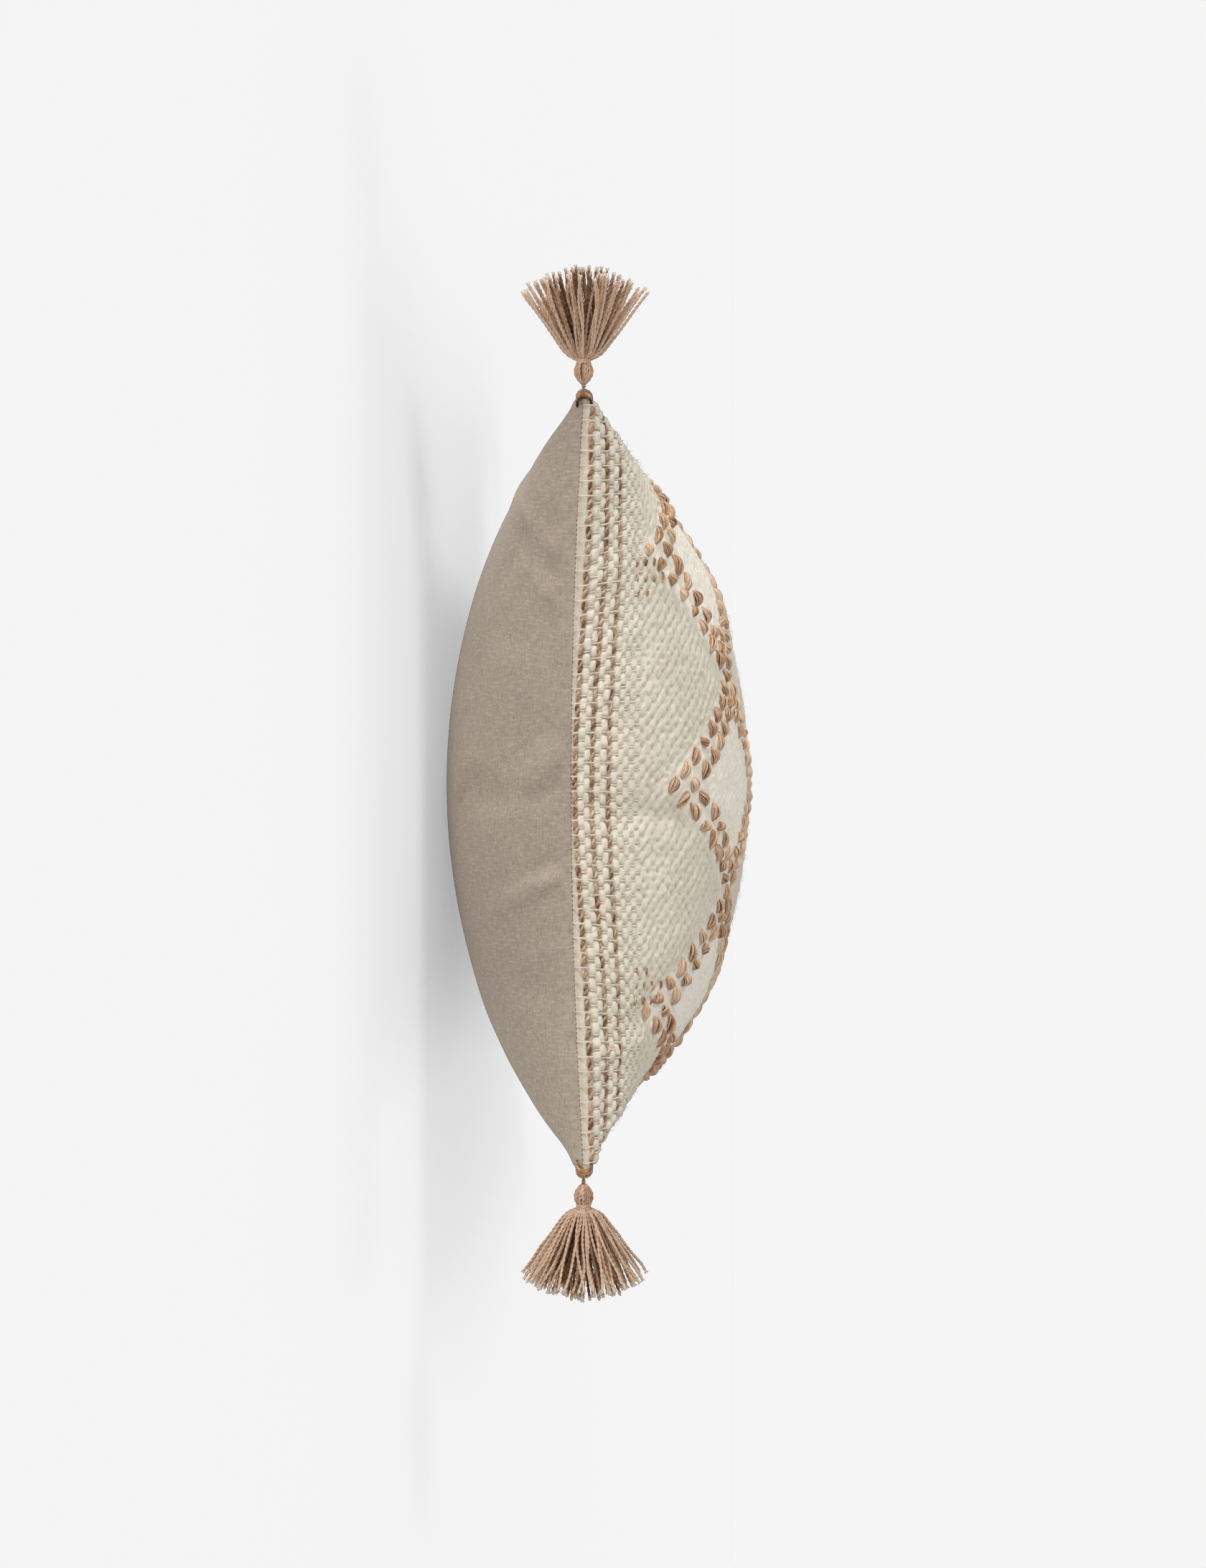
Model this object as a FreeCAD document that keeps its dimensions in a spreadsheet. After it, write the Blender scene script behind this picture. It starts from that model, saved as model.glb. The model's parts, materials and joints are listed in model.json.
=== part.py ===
import FreeCAD, Part
import Sketcher
import math
import os

# A square throw pillow, lying on its plain back with its patterned face up.
# X runs across the face, Y runs up the face and Z is the thickness. The origin is under the
# middle of the pillow, on the surface that it lies on. All lengths are in millimetres.

os.makedirs("parts", exist_ok=True)
doc = FreeCAD.newDocument("throw_pillow")

# ---------------------------------------------------------------------------------------
# Driving dimensions
# ---------------------------------------------------------------------------------------

DIMENSIONS = [
    # the stuffed cover
    ("corner_half", 240, "middle of the pillow to a corner tip, along X or Y"),
    ("edge_pull", 0.10, "share of corner_half by which the middle of an edge is pulled in"),
    ("corner_lift", 10, "how far the corner tips stand above the middles of the edges"),
    ("front_rise", 110, "seam to the crown of the patterned face"),
    ("back_rise", 108, "seam to the crown of the plain back, before it is flattened"),
    ("rest_flat", 1.8, "how much of the back's crown the surface below presses flat"),
    ("wool_thick", 5, "handwoven wool panel"),
    ("linen_thick", 3, "linen panel with its lining"),
    ("seam_deep", 4, "width of the closed seam between the two panels"),
    ("fabric_half", 254, "half the width that a panel was cut to, between its seams"),
    # the insert
    ("insert_gap", 1, "room between the cover and the insert on the faces"),
    ("insert_edge_gap", 6, "room between the cover and the insert along the edges"),
    ("insert_thick", 1.5, "cotton casing of the insert"),
    ("insert_seam", 3, "width of the casing's seam"),
    ("fill_gap", 1, "room between the casing and the filling"),
    # the zip in the lower edge
    ("zip_deep", 3.4, "outer edge of the cover to the outer face of the tapes"),
    ("tape_long", 344, "length of each zipper tape"),
    ("tape_wide", 11.5, "width of each zipper tape"),
    ("tape_thick", 0.8, "thickness of each zipper tape"),
    ("coil_long", 315, "length of the coils between the stops"),
    ("coil_radius", 1.1, "outer radius of one coil"),
    ("coil_gap", 0.5, "middle of the zip to the near side of a coil or a tape"),
    ("slot_half", 4.75, "half the width of the opening between the two panels"),
    ("stop_long", 3, "length of a zipper stop"),
    ("slider_long", 9, "length of the slider"),
    ("slider_half", 4.2, "half the width of the slider"),
    ("slider_travel", 304, "how far the slider runs along the coils"),
    ("flange_in", 3.1, "middle of the slider to the inner side of its rolled edges"),
    ("flange_low", 0.4, "outer face of the tapes to the rolled edges"),
    ("post_half", 0.25, "half the thickness of the slider's post between the coils"),
    ("post_long", 2, "length of that post"),
    ("back_plate_half", 3, "half the width of the slider's plate behind the tapes"),
    ("bridge_half", 3.6, "half the length of the slider's bridge"),
    ("bridge_hole_half", 2.4, "half the length of the hole under the bridge"),
    ("bridge_wide", 1.8, "width of the bridge"),
    ("pull_long", 20, "length of the pull"),
    ("pull_half", 3.2, "half the width of the pull"),
    ("pull_thick", 1.2, "thickness of the pull"),
    ("pull_bar", 0.6, "half the length of the pull's bar, which runs under the bridge"),
    ("pull_hole_end", 7.2, "bar to the far end of the pull's hole"),
    ("pull_hole_half", 1.5, "half the width of the pull's hole"),
    # a corner tassel, measured along its own axis from the eye of its cord
    ("loop_radius", 4.4, "middle of the corner loop to its cord"),
    ("loop_cord", 0.85, "radius of the corner loop's cord"),
    ("loop_leg", 7, "length of the corner loop's legs, sewn into the panels"),
    ("loop_out", 2.1, "corner tip to the cord at the top of the loop"),
    ("eye_bore", 1.05, "inner radius of the eye"),
    ("eye_outer", 1.85, "outer radius of the eye"),
    ("eye_wide", 1.8, "width of the eye along the loop's cord"),
    ("cord_radius", 1.0, "radius of the hanging cord"),
    ("ball_radius", 1.1, "radius of the knot that carries the head"),
    ("ball_at", 2.9, "eye to the middle of the knot"),
    ("head_start", 4.2, "eye to the near end of the head"),
    ("head_radius", 6.35, "radius of the round head"),
    ("wrap_start", 16, "eye to the near side of the neck wrap"),
    ("wrap_tall", 3.4, "height of the neck wrap"),
    ("wrap_radius", 4.95, "outer radius of the neck wrap"),
    ("neck_radius", 3.2, "radius of the bundle inside the wrap"),
    ("skirt_long", 57, "length of the skirt's strands below the wrap"),
    ("skirt_out", 39, "radius of the skirt at its ends"),
    ("shoulder_out", 8.5, "radius of the skirt where its strands have bent over the wrap"),
    ("shoulder_down", 2.5, "wrap to that bend"),
    # yarns on the patterned face
    ("stitch_pitch", 9.7, "spacing of the running stitches along the edge"),
    ("stitch_column", 10.7, "spacing of the columns of running stitches"),
    ("stitch_first", 4.2, "seam to the first column of running stitches"),
    ("stitch_long", 6.4, "length of one running stitch"),
    ("stitch_radius", 1.1, "radius of a running stitch"),
    ("diamond_wide", 92, "half the width of a diamond on the flat panel"),
    ("diamond_tall", 75, "half the height of a diamond on the flat panel"),
    ("diamond_inset", 21, "how far the inner outline's corner lies inside the outer one's"),
    ("tuft_pitch", 14.5, "spacing of the tufts along an outline"),
    ("tuft_long", 8.5, "length of a tuft"),
    ("tuft_radius", 2.6, "radius of a tuft"),
    ("thread_pitch", 8, "spacing of the seam's stitches"),
    ("thread_long", 5, "length of one stitch of the seam"),
    ("thread_radius", 0.4, "radius of the sewing thread"),
]

sheet = doc.addObject("Spreadsheet::Sheet", "Sizes")
for row, (alias, number, meaning) in enumerate(DIMENSIONS, start=1):
    sheet.set(f"A{row}", alias)
    sheet.set(f"B{row}", str(number))
    sheet.setAlias(f"B{row}", alias)
    sheet.set(f"C{row}", meaning)
doc.recompute()


def size(alias):
    """A driving dimension as a plain number."""
    return float(sheet.get(alias))


CORNER_HALF = size("corner_half")
SEAM_Z = size("back_rise") - size("rest_flat")  # height of the middles of the edges
ZIP_EDGE_Y = -CORNER_HALF * (1 - size("edge_pull"))  # outer edge of the cover at the zip
TAPE_Y = ZIP_EDGE_Y + size("zip_deep")  # outer face of the tapes


def bind(thing, **formulas):
    """Bind properties of an object to formulas of the sheet's names."""
    for name, formula in formulas.items():
        thing.setExpression(name.replace("__", "."), formula)
    return thing


# ---------------------------------------------------------------------------------------
# The pillow's own shape: the height over each point is a product of two arcs
# ---------------------------------------------------------------------------------------


def edge_power(v):
    """How flat the edge that a point belongs to is: the edge with the zip is the flattest."""
    share = max(0.0, -v)
    return 2 + 4 * share * share * (3 - 2 * share)


def cushion_point(half, rise, u, v):
    """The point of a face at u, v from -1 to 1. A rise under 0 gives the back."""
    pull = size("edge_pull")
    power = edge_power(v)
    x = half * u * (1 - pull * (1 - v * v))
    y = half * v * (1 - pull * (1 - abs(u) ** power))
    seam = size("corner_lift") * abs(u) ** power * v * v
    crown = rise * math.sqrt(max(0.0, (1 - u * u) * (1 - v * v)))
    return FreeCAD.Vector(x, y, SEAM_Z + seam + crown)


def skin(half, rise, offset=0.0):
    """A face of the pillow as one smooth surface, moved up by the offset."""
    count = 33
    turns = [math.pi * (n / (count - 1) - 0.5) for n in range(count)]
    steps = [math.sin(turn) for turn in turns]
    up = FreeCAD.Vector(0, 0, offset)
    grid = [[cushion_point(half, rise, u, v) + up for v in steps] for u in steps]
    surface = Part.BSplineSurface()
    surface.interpolate(grid)
    return surface.toShape()


def closed_solid(first, second):
    """The solid between two skins, closed by a narrow strip along each edge."""
    faces = [first, second]
    for edge in first.Edges:
        facing = min(second.Edges, key=lambda e: (e.CenterOfMass - edge.CenterOfMass).Length)
        faces.append(Part.makeRuledSurface(edge, facing))
    sewn = Part.makeCompound(faces)
    sewn.sewShape(0.01)
    solid = Part.makeSolid(sewn.Shells[0])
    if solid.Volume < 0:
        solid.reverse()
    return solid


def soft_feature(name, shape):
    """A soft piece whose shape no feature or primitive makes."""
    piece = doc.addObject("Part::Feature", name)
    piece.Shape = shape
    return piece


def half_shell(name, half, rise, seam, thick):
    """One face of a cover: a shell as thick as its cloth, and as wide as its seam at the edge."""
    side = 1 if rise > 0 else -1
    outer = skin(half, rise)
    inner = skin(half - seam, rise - side * thick)
    return soft_feature(name, closed_solid(outer, inner))


def panels():
    """The wool front and the linen back, opened along the lower edge for the zip."""
    seam = size("seam_deep")
    front = half_shell("front_cloth", CORNER_HALF, size("front_rise"), seam, size("wool_thick"))
    back = half_shell("back_cloth", CORNER_HALF, -size("back_rise"), seam, size("linen_thick"))
    through = 20  # more than the depth of the edge

    slot = doc.addObject("Part::Box", "zip_slot")
    bind(slot, Length="Sizes.tape_long + 4", Width=str(through), Height="2 * Sizes.slot_half")
    slot_x = -size("tape_long") / 2 - 2
    slot.Placement.Base = FreeCAD.Vector(slot_x, ZIP_EDGE_Y - through / 2, SEAM_Z - size("slot_half"))

    room = 0.3  # between a tape and the cloth over it
    rebate = doc.addObject("Part::Box", "tape_rebate")
    bind(rebate, Length="Sizes.tape_long + 4", Width=str(through), Height="2 * Sizes.tape_wide + 2")
    rebate_z = SEAM_Z - size("tape_wide") - 1
    rebate.Placement.Base = FreeCAD.Vector(slot_x, TAPE_Y - room, rebate_z)

    table = doc.addObject("Part::Box", "flat_base")
    bind(table, Length="Sizes.corner_half", Width="Sizes.corner_half", Height="10")
    table.Placement.Base = FreeCAD.Vector(-CORNER_HALF / 2, -CORNER_HALF / 2, -10)

    opening = doc.addObject("Part::MultiFuse", "zip_opening")
    opening.Shapes = [slot, rebate]
    under = doc.addObject("Part::MultiFuse", "back_openings")
    under.Shapes = [opening, table]

    for name, cloth, tool in (("front_panel", front, opening), ("back_panel", back, under)):
        panel = doc.addObject("Part::Cut", name)
        panel.Base = cloth
        panel.Tool = tool


def insert():
    """The cotton casing in two halves, and its filling."""
    half = CORNER_HALF - size("seam_deep") - size("insert_edge_gap")
    up = size("front_rise") - size("wool_thick") - size("insert_gap")
    down = size("back_rise") - size("linen_thick") - size("insert_gap")
    half_shell("insert_cover_front", half, up, size("insert_seam"), size("insert_thick"))
    half_shell("insert_cover_back", half, -down, size("insert_seam"), size("insert_thick"))

    fill_half = half - size("insert_seam") - size("fill_gap")
    lost = size("insert_thick") + size("fill_gap")
    half_edge = 0.5  # half the height of the filling along its edge
    top = skin(fill_half, up - lost, half_edge)
    bottom = skin(fill_half, lost - down, -half_edge)
    soft_feature("insert_fill", closed_solid(top, bottom))


# ---------------------------------------------------------------------------------------
# Yarns on the cover: short round stitches laid along the cloth
# ---------------------------------------------------------------------------------------


def on_front(s, t):
    """The point of the front above s, t from -1 to 1, measured evenly along the flat panel."""

    def eased(along, across):
        turn = math.pi / 2 * along - 0.14 * math.sin(math.pi * along)
        return along + (1 - across * across) * (math.sin(turn) - along)

    return cushion_point(CORNER_HALF, size("front_rise"), eased(s, t), eased(t, s))


def stitch_between(start, end, radius):
    """A short straight yarn from one point to another."""
    return Part.makeCylinder(radius, (end - start).Length, start, end - start)


def stitch_on_front(x, y, length, radius):
    """A yarn centred at x, y of the flat panel and lying along the panel's Y axis."""
    width = size("fabric_half")
    start = on_front(x / width, (y - length / 2) / width)
    end = on_front(x / width, (y + length / 2) / width)
    return stitch_between(start, end, radius)


def border_stitches():
    """Three columns of running stitches beside each of the two side seams."""
    width, pitch = size("fabric_half"), size("stitch_pitch")
    long, radius = size("stitch_long"), size("stitch_radius")
    per_side = int((width - pitch) / pitch)
    yarns = []
    for side in (-1, 1):
        for column in range(3):
            x = side * (width - size("stitch_first") - column * size("stitch_column"))
            for n in range(-per_side, per_side + 1):
                yarns.append(stitch_on_front(x, n * pitch, long, radius))
    soft_feature("border_stitches", Part.makeCompound(yarns))


def diamond_outline(centre_x, centre_y, half_wide, half_tall):
    """Evenly spaced points along the four sides of a diamond."""
    corners = [(half_wide, 0), (0, half_tall), (-half_wide, 0), (0, -half_tall)]
    side = math.hypot(half_wide, half_tall)
    count = max(1, round(side / size("tuft_pitch")))
    for (x0, y0), (x1, y1) in zip(corners, corners[1:] + corners[:1]):
        for n in range(count):
            share = n / count
            yield centre_x + x0 + share * (x1 - x0), centre_y + y0 + share * (y1 - y0)


def motif_tufts():
    """Diamonds in two columns and three rows, each outlined twice in thick tufts of yarn."""
    wide, tall = size("diamond_wide"), size("diamond_tall")
    inset = size("diamond_inset")
    places = {}
    for column in (-1, 1):
        for row in (-1, 0, 1):
            centre = (column * wide, row * 2 * tall)
            for shrink in (0, inset):
                inner_tall = tall * (1 - shrink / wide)
                for x, y in diamond_outline(*centre, wide - shrink, inner_tall):
                    places[round(x), round(y)] = (x, y)
    long, radius = size("tuft_long"), size("tuft_radius")
    yarns = [stitch_on_front(x, y, long, radius) for x, y in places.values()]
    soft_feature("motif_tufts", Part.makeCompound(yarns))


def seam_stitches():
    """The sewing thread that closes the cover, along the three edges that have no zip."""
    pitch = size("thread_pitch") / CORNER_HALF
    reach = size("thread_long") / CORNER_HALF / 2
    per_side = int((1 - pitch) / pitch)
    deep = CORNER_HALF - size("seam_deep") / 2
    yarns = []
    for n in range(-per_side, per_side + 1):
        low, high = n * pitch - reach, n * pitch + reach
        for ends in (((-1, low), (-1, high)), ((1, low), (1, high)), ((low, 1), (high, 1))):
            start, end = [cushion_point(deep, 0, *place) for place in ends]
            yarns.append(stitch_between(start, end, size("thread_radius")))
    soft_feature("seam_stitches", Part.makeCompound(yarns))


# ---------------------------------------------------------------------------------------
# Sketches of parametric bodies
# ---------------------------------------------------------------------------------------


def total(*names):
    """The sum of some driving dimensions, as a number and as a formula."""
    return sum(size(name) for name in names), " + ".join("Sizes." + name for name in names)


def fixed(number):
    """A plain length, as a number and as a formula."""
    return number, str(number)


def body_with_sketch(name, plane, outlines):
    """A new body with a sketch of closed outlines on one of its own origin planes."""
    body = doc.addObject("PartDesign::Body", name)
    return body, add_sketch(body, name + "_outline", plane, outlines)


def add_sketch(body, name, plane, outlines):
    """A sketch whose straight outlines pass through points bound to the sheet."""
    sketch = body.newObject("Sketcher::SketchObject", name)
    origin_plane = next(f for f in body.Origin.OriginFeatures if f.Role == plane)
    sketch.AttachmentSupport = [(origin_plane, "")]
    sketch.MapMode = "FlatFace"
    for outline in outlines:
        points = [FreeCAD.Vector(x[0], y[0], 0) for x, y in outline]
        first = sketch.GeometryCount
        for n, point in enumerate(points):
            sketch.addGeometry(Part.LineSegment(point, points[(n + 1) % len(points)]))
        for n, (x, y) in enumerate(outline):
            line, after = first + n, first + (n + 1) % len(points)
            sketch.addConstraint(Sketcher.Constraint("Coincident", line, 2, after, 1))
            for kind, (number, formula) in (("DistanceX", x), ("DistanceY", y)):
                place = sketch.addConstraint(Sketcher.Constraint(kind, -1, 1, line, 1, number))
                sketch.setExpression(f"Constraints[{place}]", formula)
    return sketch


def negative(value):
    """The same length the other way."""
    number, formula = value
    return -number, f"-({formula})"


def rectangle(x_low, x_high, y_low, y_high):
    """The four corners of a rectangle."""
    return [(x_low, y_low), (x_high, y_low), (x_high, y_high), (x_low, y_high)]


def pad(body, sketch, formula, midplane=False, backwards=False):
    """Raise a sketch into a solid as long as the formula says."""
    feature = body.newObject("PartDesign::Pad", sketch.Name + "_pad")
    feature.Profile = sketch
    feature.setExpression("Length", formula)
    feature.Midplane = midplane
    feature.Reversed = backwards
    return feature


def revolve(body, sketch):
    """Turn a sketch once round its upright axis."""
    feature = body.newObject("PartDesign::Revolution", sketch.Name + "_turned")
    feature.Profile = sketch
    feature.ReferenceAxis = (sketch, ["V_Axis"])
    feature.Angle = 360
    return feature


# ---------------------------------------------------------------------------------------
# The zip
# ---------------------------------------------------------------------------------------


def zip_tapes():
    """Two woven tapes behind the opening, one on each panel."""
    front_low, back_low = size("coil_gap"), -size("coil_gap") - size("tape_wide")
    for name, low in (("zipper_tape_front", front_low), ("zipper_tape_back", back_low)):
        tape = doc.addObject("Part::Box", name)
        bind(tape, Length="Sizes.tape_long", Width="Sizes.tape_thick", Height="Sizes.tape_wide")
        tape.Placement.Base = FreeCAD.Vector(-size("tape_long") / 2, TAPE_Y, SEAM_Z + low)


def zip_coils():
    """The two coils, as long round rods on the outer faces of the tapes."""
    for name, side in (("zipper_coil_front", 1), ("zipper_coil_back", -1)):
        coil = doc.addObject("Part::Cylinder", name)
        bind(coil, Radius="Sizes.coil_radius", Height="Sizes.coil_long")
        middle = SEAM_Z + side * (size("coil_gap") + size("coil_radius"))
        start = FreeCAD.Vector(-size("coil_long") / 2, TAPE_Y - size("coil_radius"), middle)
        coil.Placement = FreeCAD.Placement(start, FreeCAD.Rotation(FreeCAD.Vector(0, 1, 0), 90))


def zip_stops():
    """One stop across both coils where the zip begins, and one on each coil where it ends."""
    outer_half = total("coil_gap", "coil_radius", "coil_radius")
    tall = "2 * Sizes.coil_radius"
    base_y = TAPE_Y - 2 * size("coil_radius")

    bottom = doc.addObject("Part::Box", "zipper_bottom_stop")
    bind(bottom, Length="Sizes.stop_long", Width=tall, Height=f"2 * ({outer_half[1]})")
    start_x = -size("coil_long") / 2 - size("stop_long")
    bottom.Placement.Base = FreeCAD.Vector(start_x, base_y, SEAM_Z - outer_half[0])

    pair = []
    for name, low in (("top_stop_front", size("coil_gap")), ("top_stop_back", -outer_half[0])):
        stop = doc.addObject("Part::Box", name)
        bind(stop, Length="Sizes.stop_long", Width=tall, Height=tall)
        stop.Placement.Base = FreeCAD.Vector(size("coil_long") / 2, base_y, SEAM_Z + low)
        pair.append(stop)
    both = doc.addObject("Part::Compound", "zipper_top_stops")
    both.Links = pair


# The slider's and the pull's own Y axis points out of the pillow's edge, and its zero is the
# outer face of the tapes.
PLATE_LOW = 2 * size("coil_radius") + 0.3  # under side of the top plate, over the coils
PLATE_HIGH = PLATE_LOW + 1.2
BAR_HEIGHT = PLATE_HIGH + 1.3  # middle of the pull's bar
BRIDGE_ROOM, BRIDGE_ROOF = 1.2, 1.0  # room over that bar, and the bridge's own thickness
CHANNEL_BACK, BACK_PLATE = -1.2, 0.8  # outer face and thickness of the plate behind the tapes
OVERLAP = 0.4  # how far the post runs into the top plate
SLIDER_X = size("slider_travel") / 2  # the closed end


def zip_slider():
    """A channel over the coils, with a post between them, a plate behind and a bridge on top."""
    reach = total("slider_half")
    flange_in, flange_low = total("flange_in"), total("flange_low")
    behind = fixed(CHANNEL_BACK)
    plate_low, plate_high = fixed(PLATE_LOW), fixed(PLATE_HIGH)
    channel = [
        (negative(reach), flange_low),
        (negative(flange_in), flange_low),
        (negative(flange_in), plate_low),
        (flange_in, plate_low),
        (flange_in, flange_low),
        (reach, flange_low),
        (reach, plate_high),
        (negative(reach), plate_high),
    ]
    body, profile = body_with_sketch("zipper_slider", "YZ_Plane", [[(y, z) for z, y in channel]])
    pad(body, profile, "Sizes.slider_long", midplane=True)

    post_half = total("post_half")
    post = rectangle(behind, fixed(PLATE_LOW + OVERLAP), negative(post_half), post_half)
    pad(body, add_sketch(body, "slider_post", "YZ_Plane", [post]), "Sizes.post_long")

    back_half = total("back_plate_half")
    plate = rectangle(fixed(CHANNEL_BACK - BACK_PLATE), behind, negative(back_half), back_half)
    pad(body, add_sketch(body, "slider_back", "YZ_Plane", [plate]), "Sizes.slider_long", midplane=True)

    outer, inner = total("bridge_half"), total("bridge_hole_half")
    roof_low, roof_high = fixed(BAR_HEIGHT + BRIDGE_ROOM), fixed(BAR_HEIGHT + BRIDGE_ROOM + BRIDGE_ROOF)
    bridge = rectangle(negative(outer), outer, fixed(PLATE_HIGH - OVERLAP / 2), roof_high)
    window = rectangle(negative(inner), inner, fixed(PLATE_HIGH), roof_low)
    sketch = add_sketch(body, "slider_bridge", "XY_Plane", [bridge, window])
    pad(body, sketch, "Sizes.bridge_wide", midplane=True)
    place_on_zip(body)


def zip_pull():
    """A flat tab whose end bar runs under the slider's bridge."""
    half, tip = total("pull_half"), total("pull_long")
    bar = total("pull_bar")
    outline = rectangle(negative(bar), tip, negative(half), half)
    hole_half = total("pull_hole_half")
    window = rectangle(bar, total("pull_hole_end"), negative(hole_half), hole_half)
    body, profile = body_with_sketch("zipper_pull", "XZ_Plane", [outline, window])
    pad(body, profile, "Sizes.pull_thick", midplane=True)
    place_on_zip(body, BAR_HEIGHT)


def place_on_zip(body, out=0.0):
    """Put a body on the zip's closed end, its Y axis pointing out of the edge."""
    place = FreeCAD.Vector(SLIDER_X, TAPE_Y - out, SEAM_Z)
    body.Placement = FreeCAD.Placement(place, FreeCAD.Rotation(FreeCAD.Vector(1, 0, 0), 180))


# ---------------------------------------------------------------------------------------
# The corner tassels. Each tassel's own Z axis runs from the eye of its cord to its strands,
# and its X axis is the pillow's Z axis.
# ---------------------------------------------------------------------------------------

# corner: (side in X, side in Y, direction that the tassel points in, in degrees from +X)
CORNERS = {
    "left_top": (-1, 1, 90),
    "left_bottom": (-1, -1, -90),
    "right_bottom": (1, -1, 30),
    "right_top": (1, 1, -30),
}


def corner_eye(side_x, side_y):
    """Where the eye of a tassel's cord hangs, just outside a corner tip."""
    out = CORNER_HALF + size("loop_out") / math.sqrt(2)
    return FreeCAD.Vector(side_x * out, side_y * out, SEAM_Z + size("corner_lift"))


def along(degrees):
    """A turn that takes Z to a direction in the plane of the seam, and X to the pillow's Z."""
    angle = math.radians(degrees)
    ahead = FreeCAD.Vector(math.cos(angle), math.sin(angle), 0)
    up = FreeCAD.Vector(0, 0, 1)
    return FreeCAD.Rotation(up, ahead.cross(up), ahead, "XZY")


def corner_loop(corner, side_x, side_y):
    """A cord bent over the corner tip, its two legs sewn into the front and the back."""
    turn = along(math.degrees(math.atan2(side_y, side_x)))
    centre = corner_eye(side_x, side_y) - turn.multVec(FreeCAD.Vector(0, 0, size("loop_radius")))

    bend = doc.addObject("Part::Torus", "bend_" + corner)
    bind(bend, Radius1="Sizes.loop_radius", Radius2="Sizes.loop_cord", Angle3="180")
    upright = FreeCAD.Rotation(FreeCAD.Vector(1, 0, 0), 90)
    bend.Placement = FreeCAD.Placement(centre, turn.multiply(upright))

    pieces = [bend]
    for name, side in (("leg_front_", 1), ("leg_back_", -1)):
        leg = doc.addObject("Part::Cylinder", name + corner)
        bind(leg, Radius="Sizes.loop_cord", Height="Sizes.loop_leg")
        foot = FreeCAD.Vector(side * size("loop_radius"), 0, -size("loop_leg"))
        leg.Placement = FreeCAD.Placement(centre + turn.multVec(foot), turn)
        pieces.append(leg)
    loop = doc.addObject("Part::MultiFuse", "loop_" + corner)
    loop.Shapes = pieces


def hanging_cord(corner, eye, turn):
    """A short cord with an eye round the corner loop and a knot inside the head's end."""
    ring = doc.addObject("Part::Cylinder", "ring_" + corner)
    bind(ring, Radius="Sizes.eye_outer", Height="Sizes.eye_wide")
    bore = doc.addObject("Part::Cylinder", "bore_" + corner)
    bind(bore, Radius="Sizes.eye_bore", Height="2 * Sizes.eye_wide")
    sideways = FreeCAD.Rotation(FreeCAD.Vector(0, 1, 0), 90)
    for tube, wide in ((ring, size("eye_wide")), (bore, 2 * size("eye_wide"))):
        start = eye + turn.multVec(FreeCAD.Vector(-wide / 2, 0, 0))
        tube.Placement = FreeCAD.Placement(start, turn.multiply(sideways))

    in_wall = (size("eye_bore") + size("eye_outer")) / 2
    stem = doc.addObject("Part::Cylinder", "stem_" + corner)
    bind(stem, Radius="Sizes.cord_radius", Height="Sizes.ball_at - (Sizes.eye_bore + Sizes.eye_outer) / 2")
    stem.Placement = FreeCAD.Placement(eye + turn.multVec(FreeCAD.Vector(0, 0, in_wall)), turn)
    knot = doc.addObject("Part::Sphere", "knot_" + corner)
    bind(knot, Radius="Sizes.ball_radius")
    knot.Placement.Base = eye + turn.multVec(FreeCAD.Vector(0, 0, size("ball_at")))

    whole = doc.addObject("Part::MultiFuse", "cord_blank_" + corner)
    whole.Shapes = [ring, stem, knot]
    cord = doc.addObject("Part::Cut", "cord_" + corner)
    cord.Base = whole
    cord.Tool = bore


def turned_body(name, corners, centre, radius):
    """A body of revolution. Lines join the corners, and an arc joins the last to the first.

    The arc's centre is on the axis at the height given, and a corner's coordinate that the
    arc settles has no formula."""
    body = doc.addObject("PartDesign::Body", name)
    sketch = body.newObject("Sketcher::SketchObject", name + "_outline")
    plane = next(f for f in body.Origin.OriginFeatures if f.Role == "XZ_Plane")
    sketch.AttachmentSupport = [(plane, "")]
    sketch.MapMode = "FlatFace"

    def dimension(kind, formula, *rest):
        place = sketch.addConstraint(Sketcher.Constraint(kind, *rest))
        sketch.setExpression(f"Constraints[{place}]", formula)

    points = [FreeCAD.Vector(x[0], y[0], 0) for x, y in corners]
    for start, end in zip(points, points[1:]):
        sketch.addGeometry(Part.LineSegment(start, end))
    lines = len(points) - 1
    middle = FreeCAD.Vector(0, centre[0], 0)
    angles = [math.atan2(p.y - middle.y, p.x) for p in (points[0], points[-1])]
    circle = Part.Circle(middle, FreeCAD.Vector(0, 0, 1), radius[0])
    arc = sketch.addGeometry(Part.ArcOfCircle(circle, min(angles), max(angles)))
    first_end, last_end = (1, 2) if angles[0] < angles[1] else (2, 1)

    for n in range(lines - 1):
        sketch.addConstraint(Sketcher.Constraint("Coincident", n, 2, n + 1, 1))
    sketch.addConstraint(Sketcher.Constraint("Coincident", 0, 1, arc, first_end))
    sketch.addConstraint(Sketcher.Constraint("Coincident", lines - 1, 2, arc, last_end))
    sketch.addConstraint(Sketcher.Constraint("PointOnObject", arc, 3, -2))
    dimension("DistanceY", centre[1], -1, 1, arc, 3, centre[0])
    dimension("Radius", radius[1], arc, radius[0])
    for n, place in enumerate(corners):
        line, end = (n, 1) if n < lines else (n - 1, 2)
        for kind, (number, formula) in zip(("DistanceX", "DistanceY"), place):
            if formula is not None:
                dimension(kind, formula, -1, 1, line, end, number)
    revolve(body, sketch)
    return body


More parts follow.
